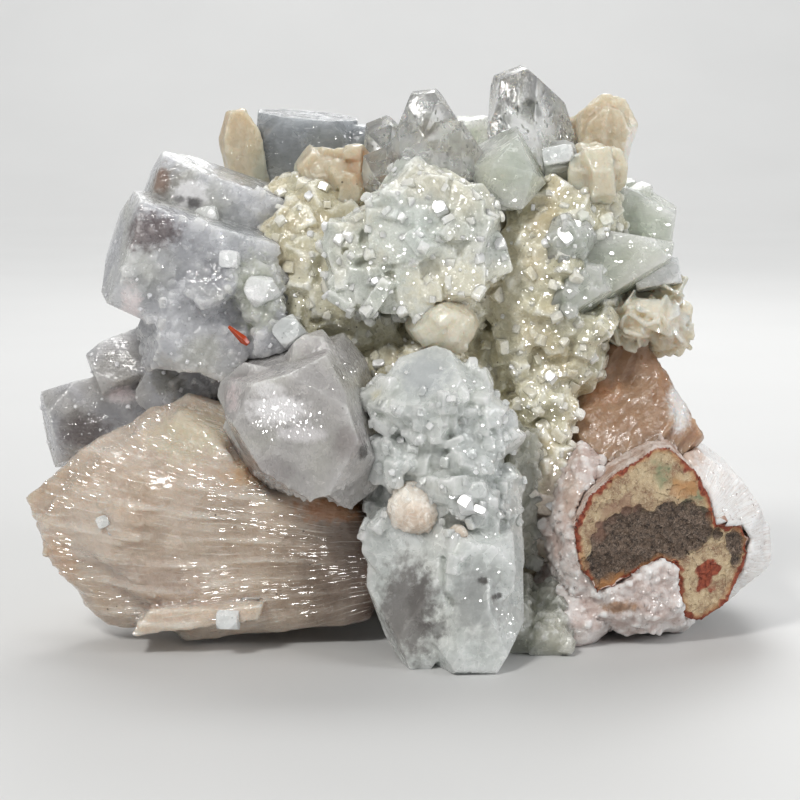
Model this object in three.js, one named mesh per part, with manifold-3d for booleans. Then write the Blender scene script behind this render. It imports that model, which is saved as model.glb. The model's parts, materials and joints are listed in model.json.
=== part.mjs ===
// A cabinet specimen of apophyllite and stilbite grown on basalt.
// Millimetres, +Z up, -Y towards the display side, origin on the resting plane.
// Every piece is a closed faceted solid. Pieces that grew against each other keep a
// hairline gap, so the earlier piece in the list keeps its form and the later one is
// cut back around it.

import * as THREE from "three";
import { ConvexGeometry } from "three/addons/geometries/ConvexGeometry.js";
import { mergeVertices } from "three/addons/utils/BufferGeometryUtils.js";
import Module from "manifold-3d";

const wasm = await Module();
wasm.setup();

// ---------------------------------------------------------------- driving dimensions

const GAP = 0.3; // clearance between neighbouring pieces
const PYRAMID_RISE = 1.25; // apophyllite's axial ratio c:a, the slope of its pyramid faces
const REACH = 400; // larger than the specimen, for cutting planes
const STILBITE_SHOULDER = 0.74; // share of a blade's length where it is widest
const STILBITE_TIP = 0.42; // width left at a blade's end, as a share of its widest

// ---------------------------------------------------------------- solids

// A closed solid from a three.js geometry, with coincident corners joined.
function solid(geometry) {
  const bare = new THREE.BufferGeometry();
  bare.setAttribute("position", geometry.getAttribute("position").clone());
  if (geometry.index) bare.setIndex(geometry.index.clone());
  const merged = mergeVertices(bare, 1e-4);
  const corners = merged.index.array;
  const triangles = [];
  for (let i = 0; i < corners.length; i += 3) {
    const [a, b, c] = corners.slice(i, i + 3);
    if (a !== b && b !== c && c !== a) triangles.push(a, b, c);
  }
  return new wasm.Manifold(
    new wasm.Mesh({
      numProp: 3,
      vertProperties: new Float32Array(merged.getAttribute("position").array),
      triVerts: new Uint32Array(triangles),
    }),
  );
}

// The geometry of a solid, with a flat normal on each face.
function geometryOf(shape) {
  const { vertProperties, triVerts } = shape.getMesh();
  const geometry = new THREE.BufferGeometry();
  geometry.setAttribute("position", new THREE.BufferAttribute(vertProperties, 3));
  geometry.setIndex(new THREE.BufferAttribute(triVerts, 1));
  const flat = geometry.toNonIndexed();
  flat.computeVertexNormals();
  return flat;
}

const joined = (shapes) => shapes.reduce((sum, shape) => sum.add(shape));

// The largest body of a shape that a cut may have left in several.
function largest(shape) {
  const bodies = shape.decompose();
  return bodies.reduce((best, body) => (body.volume() > best.volume() ? body : best));
}

// A repeatable stream of numbers from 0 to 1.
function randomFrom(seed) {
  let state = seed * 2654435761;
  return () => {
    state = (state + 0x6d2b79f5) | 0;
    let t = Math.imul(state ^ (state >>> 15), 1 | state);
    t = (t + Math.imul(t ^ (t >>> 7), 61 | t)) ^ t;
    return ((t ^ (t >>> 14)) >>> 0) / 4294967296;
  };
}

const vector = (point) => new THREE.Vector3(...point);
const AXIS = new THREE.Vector3(0, 1, 0);
const SIZE = new THREE.Vector3(1, 1, 1);

// The matrix that takes a form built along +Y from its origin to one that starts at
// root and points at tip, turned by roll degrees about that line.
function placing(root, tip, roll = 0) {
  const start = vector(root);
  const direction = vector(tip).sub(start).normalize();
  const turn = new THREE.Quaternion().setFromUnitVectors(AXIS, direction);
  const spin = new THREE.Quaternion().setFromAxisAngle(AXIS, THREE.MathUtils.degToRad(roll));
  return new THREE.Matrix4().compose(start, turn.multiply(spin), SIZE);
}

// All that lies on the far side of a plane through point, away from its normal.
function behindPlane(point, normal) {
  const block = new THREE.BoxGeometry(REACH, REACH, REACH).translate(0, -REACH / 2, 0);
  const tip = vector(point).add(vector(normal)).toArray();
  return solid(block.applyMatrix4(placing(point, tip)));
}

// ---------------------------------------------------------------- crystal forms

// One apophyllite crystal: a square prism whose corners are cut by pyramid faces, with a
// flat end. point is 0 for a plain box end and 1 for a sharp pyramid; the root, which is
// grown in, is left square.
function apophyllite({ root, tip, wide, deep = wide, roll = 0, point = 0.4 }, grow = 0) {
  const length = vector(root).distanceTo(vector(tip)) + 2 * grow;
  const [width, depth] = [wide + 2 * grow, deep + 2 * grow];
  const reach = (width + depth) / 2;
  const shoulder = Math.max(length - point * PYRAMID_RISE * reach, length * 0.3);
  const corners = [new THREE.Vector3(0, shoulder + PYRAMID_RISE * reach, 0)];
  for (const side of [-1, 1])
    for (const end of [-length, shoulder]) {
      corners.push(new THREE.Vector3(side * reach, end, 0));
      corners.push(new THREE.Vector3(0, end, side * reach));
    }
  const place = placing(root, tip, roll);
  const prism = new THREE.BoxGeometry(width, length, depth).translate(0, length / 2 - grow, 0);
  const pyramid = new ConvexGeometry(corners).translate(0, -grow, 0);
  return solid(prism.applyMatrix4(place)).intersect(solid(pyramid.applyMatrix4(place)));
}

// One stilbite blade in a sheaf, from a narrow waist to a broad blunt end.
function blade({ length, waist, wide, thick, turn, lift, twist }, grow) {
  const corners = [];
  const section = (at, width, thickness) => {
    for (const x of [-1, 1])
      for (const z of [-1, 1])
        corners.push(
          new THREE.Vector3(x * (width / 2 + grow), at, z * (thickness / 2 + grow)),
        );
  };
  section(-grow, waist, thick * 0.45);
  section(length * STILBITE_SHOULDER, wide, thick);
  section(length + grow, wide * STILBITE_TIP, thick * 0.8);
  return new ConvexGeometry(corners)
    .rotateY(THREE.MathUtils.degToRad(twist))
    .rotateX(THREE.MathUtils.degToRad(turn))
    .translate(0, 0, lift);
}

// A stilbite sheaf: blades that leave a waist at root and fan out on both sides of the
// line to tip. longest is the place in the fan, from -1 to 1, of the longest blade, and
// drop is how much shorter, as a share, a blade is one whole side away from it.
function sheaf(
  { root, tip, blades, spread, waist, wide, thick, rise = 0, roll = 0, seed = 1, ...shape },
  grow = 0,
) {
  const { longest = 0, drop = 0.3, uneven = 0.06 } = shape;
  const random = randomFrom(seed);
  const length = vector(root).distanceTo(vector(tip));
  const place = placing(root, tip, roll);
  const fan = [];
  for (let i = 0; i < blades; i++) {
    const t = blades > 1 ? (2 * i) / (blades - 1) - 1 : 0;
    const crown = Math.sqrt(1 - 0.45 * t * t);
    fan.push(
      blade(
        {
          length: length * (1 - drop * Math.abs(t - longest)) * (1 + uneven * (random() - 0.5)),
          waist,
          wide: wide * crown * (1 + 2.5 * uneven * (random() - 0.5)),
          thick: thick * (1 + 2 * uneven * (random() - 0.5)),
          turn: (t * spread) / 2,
          lift: -t * rise,
          twist: 30 * uneven * (random() - 0.5),
        },
        grow,
      ).applyMatrix4(place),
    );
  }
  return joined(fan.map(solid));
}

// A rounded lump with an uneven surface, size being its three radii.
function lump({ at, size, rough = 0.1, detail = 1, seed = 1 }, grow = 0) {
  const geometry = new THREE.IcosahedronGeometry(1, detail);
  const position = geometry.getAttribute("position");
  const p = new THREE.Vector3();
  for (let i = 0; i < position.count; i++) {
    p.fromBufferAttribute(position, i);
    const swell =
      Math.sin(3.1 * p.x + 1.7 * seed) * Math.cos(2.7 * p.y - seed) +
      0.7 * Math.sin(5.3 * p.z + 2.3 * seed + 2 * p.x);
    const radius = 1 + rough * swell;
    position.setXYZ(
      i,
      p.x * (size[0] * radius + grow),
      p.y * (size[1] * radius + grow),
      p.z * (size[2] * radius + grow),
    );
  }
  return solid(geometry.translate(...at));
}

// A broken block of rock, the convex form of its corners.
function block(corners, grow = 0) {
  const box = new THREE.Box3().setFromPoints(corners.map(vector));
  const middle = box.getCenter(new THREE.Vector3());
  const half = box.getSize(new THREE.Vector3()).multiplyScalar(0.5);
  const swell = half.clone().addScalar(2 * grow).divide(half);
  const points = corners.map((p) => vector(p).sub(middle).multiply(swell).add(middle));
  return solid(new ConvexGeometry(points));
}

const crystals = (list) => (grow) => joined(list.map((one) => apophyllite(one, grow)));

// Crystals studding a lump: their bases are spread evenly over it, and they stand out
// from it with a little disorder. Only those for which keep(direction) is true are made.
function studs({ at, size, count, wide, out, seed = 1, keep = () => true, point = 0.5 }) {
  const random = randomFrom(seed);
  const made = [];
  for (let i = 0; i < count; i++) {
    const z = 1 - (2 * (i + 0.5)) / count;
    const ring = Math.sqrt(1 - z * z);
    const angle = i * Math.PI * (3 - Math.sqrt(5));
    const direction = new THREE.Vector3(ring * Math.cos(angle), ring * Math.sin(angle), z);
    const disorder = [random() - 0.5, random() - 0.5, random() - 0.5];
    const breadth = wide * (0.75 + 0.6 * random());
    const spin = 90 * random();
    const sharp = point * (0.6 + 0.8 * random());
    const rise = out * (0.5 + random());
    const surface = new THREE.Vector3(...size).multiply(direction).add(vector(at));
    if (!keep(surface, direction)) continue;
    const lean = direction.clone().addScaledVector(vector(disorder), 0.9).normalize();
    made.push({
      root: surface.clone().addScaledVector(lean, -breadth * 0.8).toArray(),
      tip: surface.clone().addScaledVector(lean, rise).toArray(),
      wide: breadth,
      deep: breadth * (0.8 + 0.3 * random()),
      roll: spin,
      point: sharp,
    });
  }
  return made;
}

// ---------------------------------------------------------------- apophyllite groups

// The tall front column: a trunk studded with small crystals, a capping crystal, and
// the large crystals at its foot whose points reach the resting plane.
const COLUMN_TRUNK = { at: [8, -24, 31], size: [11, 9, 22] };
const columnCrystals = [
  { root: [7, -20, 40], tip: [3.8, -31, 50.4], wide: 15, deep: 13, roll: 30, point: 0.36 },
  { root: [9, -20, 44], tip: [11, -29.5, 48.5], wide: 10, roll: 12, point: 0.36 },
  { root: [3, -22, 42], tip: [-4, -29, 48], wide: 7, roll: 35, point: 0.36 },
  { root: [5, -22, 30], tip: [3.2, -34, -1], wide: 15.5, deep: 13, roll: 40, point: 0.84 },
  { root: [12.4, -22, 28], tip: [12.4, -36.4, -1], wide: 15, deep: 12, roll: 34, point: 0.6 },
  { root: [12, -20, 21], tip: [14, -37.5, 16.4], wide: 13, deep: 12, roll: 40, point: 0.36 },
  { root: [10, -24, 31], tip: [12.6, -35.5, 29.5], wide: 8, deep: 7, roll: 10, point: 0.4 },
  { root: [2, -22, 22], tip: [-1, -32, 20.5], wide: 11, deep: 12, roll: 30, point: 0.35 },
  { root: [12, -22, 38], tip: [17.2, -29, 41.5], wide: 8, roll: 15, point: 0.4 },
  { root: [12, -22, 30], tip: [20, -27, 29.5], wide: 8.5, roll: 50, point: 0.4 },
  { root: [12, -22, 18], tip: [19.8, -27, 19], wide: 10, roll: 30, point: 0.36 },
  { root: [4, -22, 36], tip: [-3.4, -31, 36], wide: 8, roll: 50, point: 0.4 },
  ...studs({
    ...COLUMN_TRUNK,
    count: 30,
    wide: 6.4,
    out: 1.5,
    seed: 11,
    keep: (p) => p.y < -27 && p.z > 26,
    point: 0.36,
  }),
];
const column = (grow) =>
  lump({ ...COLUMN_TRUNK, rough: 0.04 }, grow).add(crystals(columnCrystals)(grow));

// The broad blocky crystal that leans on the stilbite fan, its flat end to the front.
const blockCrystals = [
  { root: [-15, -14, 44], tip: [-18.6, -37, 40.8], wide: 22.4, deep: 22.4, roll: 24, point: 0.36 },
  { root: [-20, -16, 44], tip: [-27.5, -28, 47.5], wide: 11, deep: 11, roll: 40, point: 0.4 },
  { root: [-20, -16, 40], tip: [-28.4, -27, 40], wide: 9, roll: 15, point: 0.4 },
  { root: [-12, -18, 38], tip: [-8.5, -30, 31.5], wide: 10, roll: 30, point: 0.45 },
  { root: [-14, -18, 50], tip: [-15, -29, 54], wide: 9, roll: 10, point: 0.4 },
  { root: [-24, -18, 38], tip: [-26.5, -27, 34.5], wide: 5, roll: 10, point: 0.4 },
];

// The three pale crystals of the left shoulder, ends to the left.
const leftCrystals = [
  { root: [-27, -5, 65], tip: [-50.4, -13, 72.2], wide: 18, deep: 20, roll: 10, point: 0.3 },
  { root: [-23, -5, 57.5], tip: [-45.2, -13, 59], wide: 15, deep: 17, roll: 4, point: 0.28 },
  { root: [-21, 1, 73], tip: [-46, -5, 82], wide: 12, deep: 15, roll: 12, point: 0.36 },
  { root: [-33, -8, 62], tip: [-34, -18.5, 67.5], wide: 10, deep: 9, roll: 20, point: 0.26 },
  { root: [-27, -8, 66], tip: [-25.2, -17, 65], wide: 9, roll: 35, point: 0.4 },
  { root: [-26, -8, 60], tip: [-23.5, -17.5, 61.5], wide: 6.5, roll: 15, point: 0.4 },
  { root: [-40, -6, 58], tip: [-46, -9, 53.6], wide: 7.5, roll: 15, point: 0.3 },
  { root: [-32, -6, 54], tip: [-32.4, -17, 53.5], wide: 10, roll: 55, point: 0.34 },
  { root: [-24, -8, 56], tip: [-22, -19, 55.5], wide: 8, roll: 25, point: 0.4 },
];

// The two crystals that stand out behind the top of the stilbite fan.
const lowerLeftCrystals = [
  { root: [-40, 2, 53.4], tip: [-57, -2, 47.2], wide: 8, deep: 9, roll: 10, point: 0.35 },
  { root: [-44, 5, 40.6], tip: [-66, -1, 37], wide: 15, deep: 14, roll: 6, point: 0.34 },
  { root: [-40, 2, 44], tip: [-45, -8, 45], wide: 9, roll: 35, point: 0.4 },
  { root: [-36, 2, 46], tip: [-37.5, -9, 48], wide: 10, roll: 15, point: 0.35 },
];

const backLeftCrystals = [
  { root: [-19.5, 17, 74], tip: [-17.6, 15, 95.4], wide: 19, deep: 15, roll: 8, point: 0.3 },
  { root: [-9, 14, 78], tip: [-6.8, 13, 93.4], wide: 6.5, roll: 30, point: 0.5 },
];

// The clear group on top of the cluster.
const topCrystals = [
  { root: [7, -5, 80], tip: [4.2, -8, 99.8], wide: 8.4, deep: 8, roll: 30, point: 0.62 },
  { root: [7, 3, 80], tip: [5.4, -14, 89.5], wide: 16.5, deep: 15, roll: 28, point: 0.5 },
  { root: [1, 2, 82], tip: [-4, -4, 94], wide: 6.5, roll: 20, point: 0.55 },
  { root: [-1, 0, 80], tip: [-3, -9, 87.5], wide: 8, roll: 40, point: 0.5 },
  { root: [10, 0, 80], tip: [12.6, -8, 88], wide: 7.5, roll: 15, point: 0.5 },
];

const pointCrystals = [
  { root: [28.5, 3, 80], tip: [20.2, -2, 103.4], wide: 11.8, deep: 10.8, roll: 32, point: 0.66 },
];

const backTopCrystals = [
  { root: [13.5, 15, 76], tip: [12.4, 13, 94.8], wide: 9.5, deep: 8.5, roll: 24, point: 0.4 },
  { root: [24, 15, 74], tip: [24.6, 16, 90], wide: 9, deep: 8, roll: 50, point: 0.45 },
];

// The green crystal below the tall point, and the cube at its side.
const greenCrystals = [
  { root: [19.5, -2, 87.5], tip: [19.2, -17, 83.2], wide: 10.4, deep: 10, roll: 40, point: 0.5 },
  { root: [29, 0, 82], tip: [29, -7, 88.6], wide: 6.4, roll: 12, point: 0.2 },
];

// The two stacked crystals of the right shoulder.
const rightCrystals = [
  { root: [31, 4, 77.4], tip: [51, 1, 75], wide: 9, deep: 12, roll: 8, point: 0.34 },
  { root: [29, -4, 70], tip: [49.2, -6, 66.6], wide: 11.6, deep: 12, roll: 6, point: 0.3 },
  { root: [31, -6, 73], tip: [29.6, -17, 73.6], wide: 7.4, roll: 30, point: 0.55 },
  { root: [32, -4, 64], tip: [33.5, -16, 63.5], wide: 9, roll: 15, point: 0.4 },
];

// The pale mass in the middle: one large crystal, roughened by smaller ones.
const CENTRE_MASS = { at: [5, -11, 73], size: [14, 10, 12] };
const centreCrystals = [
  { root: [6, -2, 74], tip: [4, -21, 73], wide: 23, deep: 19, roll: 16, point: 0.3 },
  { root: [-5, -8, 66], tip: [-7.6, -21, 65.5], wide: 8, roll: 30, point: 0.45 },
  { root: [-6, -8, 72], tip: [-10, -19, 72.5], wide: 6, roll: 10, point: 0.45 },
  ...studs({
    ...CENTRE_MASS,
    count: 30,
    wide: 6.4,
    out: 1.8,
    seed: 5,
    keep: (p) => p.y < -14,
  }),
];

const pillarCrystals = [
  { root: [22, -12, 14], tip: [22, -14.5, 39], wide: 5.2, roll: 12, point: 0.25 },
  { root: [24.5, -9, 20], tip: [24.8, -11, 36], wide: 4.4, roll: 30, point: 0.3 },
];

// Small green crystals at the foot, between the column and the crust.
const footCrystals = [
  { root: [21, -14, 8], tip: [20.5, -25, 1.4], wide: 8, roll: 30, point: 0.4 },
  { root: [26, -14, 8], tip: [26.5, -26.5, 1], wide: 7, roll: 12, point: 0.45 },
  { root: [24, -10, 6], tip: [22, -18, -1], wide: 9, roll: 40, point: 0.3 },
];

// Crystals round the back and the far sides.
const backCrystals = [
  { root: [-2, 18, 66], tip: [-6, 35, 74], wide: 15, deep: 13, roll: 20, point: 0.36 },
  { root: [16, 16, 68], tip: [20, 34, 78], wide: 12, deep: 12, roll: 40, point: 0.5 },
  { root: [8, 18, 62], tip: [8, 36, 62], wide: 11, deep: 12, roll: 10, point: 0.4 },
];
const backLowCrystals = [
  { root: [-34, 14, 46], tip: [-50, 27, 44], wide: 13, deep: 14, roll: 24, point: 0.38 },
  { root: [-28, 16, 50], tip: [-36, 33, 56], wide: 12, deep: 11, roll: 12, point: 0.45 },
  { root: [-30, 12, 60], tip: [-42, 21, 69], wide: 11, deep: 11, roll: 50, point: 0.42 },
];

// ---------------------------------------------------------------- stilbite

// The large fan at the left foot: half a bow tie lying on its side.
const fan = (grow) =>
  sheaf(
    {
      root: [-2, -13, 14.5],
      tip: [-68.4, -10, 30.4],
      blades: 8,
      spread: 28,
      waist: 17,
      wide: 34,
      thick: 7.6,
      rise: -7.6,
      longest: 0,
      drop: 0.34,
      uneven: 0.05,
      seed: 4,
    },
    grow,
  );

const bladeLeft = (grow) =>
  sheaf(
    {
      root: [-27.6, 8, 79],
      tip: [-31, 8, 97],
      blades: 2,
      spread: 7,
      waist: 8,
      wide: 10.4,
      thick: 4,
      drop: 0.02,
      seed: 3,
    },
    grow,
  );

const topKnob = (grow) =>
  joined([
    sheaf(
      {
        root: [-15, 4, 80],
        tip: [-6.4, -5, 87.4],
        blades: 3,
        spread: 30,
        waist: 8,
        wide: 10,
        thick: 5,
        drop: 0.2,
        roll: 20,
        seed: 6,
      },
      grow,
    ),
    lump({ at: [-13.6, -1, 84.4], size: [5, 5, 4.4], rough: 0.1, seed: 3 }, grow),
  ]);

const topSheaf = (grow) =>
  joined([
    sheaf(
      {
        root: [36.4, 2, 83],
        tip: [39.4, 3, 98.6],
        blades: 3,
        spread: 12,
        waist: 9,
        wide: 10.6,
        thick: 5,
        drop: 0.1,
        roll: 12,
        seed: 8,
      },
      grow,
    ),
    sheaf(
      {
        root: [33.4, 5, 83],
        tip: [33.4, 9, 97],
        blades: 2,
        spread: 8,
        waist: 8,
        wide: 10,
        thick: 4.6,
        drop: 0.15,
        roll: 20,
        seed: 2,
      },
      grow,
    ),
    sheaf(
      {
        root: [34, 0, 87],
        tip: [36.6, -12.6, 83.6],
        blades: 3,
        spread: 36,
        waist: 8,
        wide: 11,
        thick: 5,
        drop: 0.15,
        roll: 20,
        seed: 12,
      },
      grow,
    ),
  ]);

// A rosette of short blunt blades that stand out round a lump.
function rosette({ at, size, count, wide, thick, out, seed, keep }, grow) {
  const blades = studs({ at, size, count, wide, out, seed, keep, point: 0.16 });
  return joined([
    lump({ at, size, rough: 0.08, seed }, grow),
    ...blades.map((one) => apophyllite({ ...one, deep: thick }, grow)),
  ]);
}

const rightKnob = (grow) =>
  rosette(
    {
      at: [44.6, -3, 58.6],
      size: [7, 6.5, 5],
      count: 10,
      wide: 7.4,
      thick: 5,
      out: 2.2,
      seed: 9,
      keep: (p, out) => out.x > -0.3 && out.y < 0.6,
    },
    grow,
  );

const centreKnob = (grow) =>
  lump({ at: [7.6, -17.5, 58.6], size: [6.6, 7.4, 5.1], rough: 0.07, seed: 2 }, grow);

const rightSheaf = (grow) =>
  sheaf(
    {
      root: [41, 0, 53],
      tip: [43.5, -9, 28],
      blades: 5,
      spread: 30,
      waist: 10,
      wide: 26,
      thick: 6,
      rise: 2,
      drop: 0.1,
      uneven: 0.04,
      roll: 6,
      seed: 7,
    },
    grow,
  );

const backSheaf = (grow) =>
  sheaf(
    {
      root: [28, 12, 58],
      tip: [45, 32, 66],
      blades: 4,
      spread: 34,
      waist: 10,
      wide: 20,
      thick: 6,
      drop: 0.25,
      roll: 30,
      seed: 15,
    },
    grow,
  );

const redSplinter = (grow) =>
  sheaf(
    {
      root: [-30.6, -18.3, 58.3],
      tip: [-27, -19.6, 55.3],
      blades: 1,
      spread: 0,
      waist: 0.5,
      wide: 1.5,
      thick: 1,
      seed: 1,
    },
    grow,
  );

// ---------------------------------------------------------------- rock, crust and bed

// The broken face at the right foot, which shows the basalt inside its crust.
const FACE = { at: [48, -21.5, 20], normal: [0.26, -0.95, -0.1] };
const CRUST_STEP = 0.9; // how far the crust stands proud of the broken face
// Outline of the broken face, as x and z.
const FACE_OUTLINE = [
  [45.4, 37.2], [38, 33], [33.4, 29], [30.8, 23.6], [31.6, 18.6], [33, 14.6], [35.6, 10.8],
  [41, 13], [47, 16.6], [49.6, 15.6], [50.2, 10], [51.6, 5.4], [55, 4.4], [59.4, 8], [62.4, 13.4],
  [63.6, 19.4], [62, 22], [57, 22.4], [55.6, 27.6], [52.4, 33], [48.6, 36.8],
];
const CORE_BACK = 30; // how far back the finger of basalt runs before the slab takes over

// The outline of the broken face, moved outwards by grow.
function faceOutline(grow) {
  const points = FACE_OUTLINE.map(([x, z]) => new THREE.Vector2(x, z));
  const side = THREE.ShapeUtils.isClockWise(points) ? -1 : 1;
  const moved = points.map((p, i) => {
    const before = points.at(i - 1);
    const after = points[(i + 1) % points.length];
    const a = p.clone().sub(before).normalize();
    const b = after.clone().sub(p).normalize();
    const out = new THREE.Vector2(a.y + b.y, -a.x - b.x).multiplyScalar(side);
    const square = 1 + a.dot(b);
    return p.clone().addScaledVector(out, grow / square);
  });
  return new THREE.Shape(moved);
}

// The finger of basalt inside the crust, before its front is broken off.
function finger(grow) {
  const depth = CORE_BACK + 60;
  const bar = new THREE.ExtrudeGeometry(faceOutline(grow), { depth, bevelEnabled: false });
  // The outline is drawn in x and y; turning it about X stands it up, facing -Y.
  return solid(bar.rotateX(Math.PI / 2).translate(0, CORE_BACK, 0));
}

// The slab of vug wall at the back that the cluster grew from.
const SLAB_CORNERS = [
  [-24, 15, -3], [-31, 29, -3], [-22, 38, -3], [-6, 42, -3], [24, 43, -3], [48, 37, -3],
  [56, 24, -3], [52, 8, -3], [-14, 10, -3], [-40, 25, 20], [-34, 22, 33], [-26, 38, 30],
  [-10, 42, 44], [10, 44, 40], [32, 41, 41], [54, 34, 27], [62, 25, 14], [58, 18, 27],
  [40, 10, 40], [-12, 12, 44], [56, 8, 18],
];

function basalt(grow) {
  const front = vector(FACE.at).addScaledVector(vector(FACE.normal).normalize(), grow);
  const broken = finger(grow).intersect(behindPlane(front.toArray(), FACE.normal));
  return broken.add(block(SLAB_CORNERS, grow));
}

const CRUST_LUMPS = [
  { at: [51.8, -1, 19.6], size: [18.6, 22, 17.6], seed: 1 },
  { at: [42, -6, 13.6], size: [17, 19, 14], seed: 2 },
  { at: [33.4, -10, 19], size: [6.6, 14, 17], seed: 4 },
  { at: [31, -13, 5], size: [9, 10, 7], seed: 5 },
  { at: [56, 12, 18], size: [13, 16, 17], seed: 6 },
];
const CRUST_WARTS = { at: [45, -4, 17.4], size: [20.4, 20, 17.6] };

function crust(grow) {
  const lumps = CRUST_LUMPS.map((one) => lump({ ...one, rough: 0.05 }, grow));
  const warts = studs({
    ...CRUST_WARTS,
    count: 28,
    wide: 6,
    out: 0.8,
    seed: 21,
    keep: (p) => p.y < -4 && (p.x < 33 || p.z < 7),
    point: 0.4,
  });
  const proud = vector(FACE.at).addScaledVector(vector(FACE.normal).normalize(), CRUST_STEP);
  return joined(lumps)
    .add(crystals(warts)(grow))
    .intersect(behindPlane(proud.toArray(), FACE.normal))
    .subtract(finger(GAP - grow));
}

// The bed of small beige crystals that carries everything else.
const BED_LUMPS = [
  { at: [-15, 4, 66], size: [17, 18, 20], count: 24, wide: 8.6 },
  { at: [6, 6, 68], size: [20, 19, 17], count: 12, wide: 9 },
  { at: [28, 4, 66], size: [15, 19, 22], count: 26, wide: 8.4 },
  { at: [26, 5, 26], size: [10, 20, 26], count: 20, wide: 7.6 },
  { at: [-24, 10, 38], size: [27, 15, 20], count: 10, wide: 12 },
  { at: [4, 6, 38], size: [21, 23, 24], count: 10, wide: 10 },
];
const BED_COVER = 0.1; // share of a bed crystal that another piece may take from it
const within = (p, { at, size }) => vector(at).sub(p).divide(vector(size)).length() < 0.88;

// Only the bed's crystals that stand clear of the other pieces are made.
function bed(grow, taken) {
  const lumps = BED_LUMPS.map((one, i) => lump({ ...one, rough: 0.04, seed: i }, grow));
  const small = BED_LUMPS.flatMap((one, i) =>
    studs({
      ...one,
      out: 1.7,
      seed: 31 + i,
      keep: (p) => !BED_LUMPS.some((other) => other !== one && within(p, other)),
    }),
  );
  const clear = small
    .map((one) => apophyllite(one, grow))
    .filter((one) => one.intersect(taken).volume() < BED_COVER * one.volume());
  return joined([...lumps, ...clear]);
}
// ---------------------------------------------------------------- the specimen

const FINISHES = {
  clear: { color: 0xdfe6e6, roughness: 0.12, metalness: 0 },
  lavender: { color: 0xc3c6d2, roughness: 0.2, metalness: 0 },
  green: { color: 0xb9c8bd, roughness: 0.18, metalness: 0 },
  stilbite: { color: 0xd9b79a, roughness: 0.35, metalness: 0 },
  druse: { color: 0xcfc6a8, roughness: 0.3, metalness: 0 },
  crust: { color: 0xe3dad6, roughness: 0.6, metalness: 0 },
  basalt: { color: 0x5d5048, roughness: 0.85, metalness: 0 },
  red: { color: 0xb5492a, roughness: 0.3, metalness: 0 },
};

// Each piece with its finish and its form, in the order in which they keep their shape.
const PIECES = [
  ["apophyllite_column", "clear", column],
  ["apophyllite_block", "lavender", crystals(blockCrystals)],
  ["apophyllite_left_shoulder", "lavender", crystals(leftCrystals)],
  ["apophyllite_lower_left", "lavender", crystals(lowerLeftCrystals)],
  ["apophyllite_centre", "clear", crystals(centreCrystals)],
  ["apophyllite_top", "clear", crystals(topCrystals)],
  ["apophyllite_tall_point", "clear", crystals(pointCrystals)],
  ["apophyllite_green", "green", crystals(greenCrystals)],
  ["apophyllite_right_shoulder", "green", crystals(rightCrystals)],
  ["apophyllite_back_left", "lavender", crystals(backLeftCrystals)],
  ["apophyllite_back_top", "green", crystals(backTopCrystals)],
  ["apophyllite_pillar", "green", crystals(pillarCrystals)],
  ["apophyllite_foot", "green", crystals(footCrystals)],
  ["apophyllite_back", "clear", crystals(backCrystals)],
  ["apophyllite_back_low", "lavender", crystals(backLowCrystals)],
  ["stilbite_fan", "stilbite", fan],
  ["stilbite_left_blade", "stilbite", bladeLeft],
  ["stilbite_top_knob", "stilbite", topKnob],
  ["stilbite_top_sheaf", "stilbite", topSheaf],
  ["stilbite_right_knob", "stilbite", rightKnob],
  ["stilbite_centre_knob", "stilbite", centreKnob],
  ["stilbite_right_sheaf", "stilbite", rightSheaf],
  ["stilbite_back_sheaf", "stilbite", backSheaf],
  ["red_splinter", "red", redSplinter],
  ["basalt_matrix", "basalt", basalt],
  ["zeolite_crust", "crust", crust],
  ["druse_bed", "druse", bed],
];

const LAST_PIECE = PIECES.at(-1)[0];
const finishes = Object.fromEntries(
  Object.entries(FINISHES).map(([name, look]) => [
    name,
    new THREE.MeshStandardMaterial({ ...look, flatShading: true }),
  ]),
);

const cluster = new THREE.Group();
// What no further piece may fill, at first only what lies below the resting plane.
let taken = behindPlane([0, 0, 0], [0, 0, 1]);
for (const [name, finish, form] of PIECES) {
  const shape = largest(form(0, taken).subtract(taken));
  if (name !== LAST_PIECE) taken = taken.add(form(GAP, taken));
  const piece = new THREE.Mesh(geometryOf(shape), finishes[finish]);
  piece.name = name;
  cluster.add(piece);
}

// The origin lies on the resting plane, under the middle of the whole.
const box = new THREE.Box3().setFromObject(cluster);
const middle = box.getCenter(new THREE.Vector3());
cluster.position.set(-middle.x, -middle.y, -box.min.z);

export default cluster;
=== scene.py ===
import json
import math

import bpy
import numpy as np
from mathutils import Matrix, Vector, noise

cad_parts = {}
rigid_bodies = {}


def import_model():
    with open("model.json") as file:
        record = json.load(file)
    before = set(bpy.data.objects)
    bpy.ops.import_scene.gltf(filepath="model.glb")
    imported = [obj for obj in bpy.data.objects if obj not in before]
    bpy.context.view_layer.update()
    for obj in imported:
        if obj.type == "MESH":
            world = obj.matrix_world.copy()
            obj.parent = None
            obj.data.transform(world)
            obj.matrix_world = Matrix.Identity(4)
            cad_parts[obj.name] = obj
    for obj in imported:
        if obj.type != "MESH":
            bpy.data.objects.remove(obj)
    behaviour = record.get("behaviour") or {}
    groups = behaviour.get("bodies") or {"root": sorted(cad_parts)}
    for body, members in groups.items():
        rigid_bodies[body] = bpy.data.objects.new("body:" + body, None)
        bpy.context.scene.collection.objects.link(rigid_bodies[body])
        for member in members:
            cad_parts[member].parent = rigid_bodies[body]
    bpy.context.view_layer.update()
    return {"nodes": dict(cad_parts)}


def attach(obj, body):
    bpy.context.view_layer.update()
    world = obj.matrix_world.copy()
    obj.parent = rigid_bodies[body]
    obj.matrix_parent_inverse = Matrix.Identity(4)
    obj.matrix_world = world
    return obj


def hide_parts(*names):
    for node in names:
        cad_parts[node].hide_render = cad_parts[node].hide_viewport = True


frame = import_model()

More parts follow.
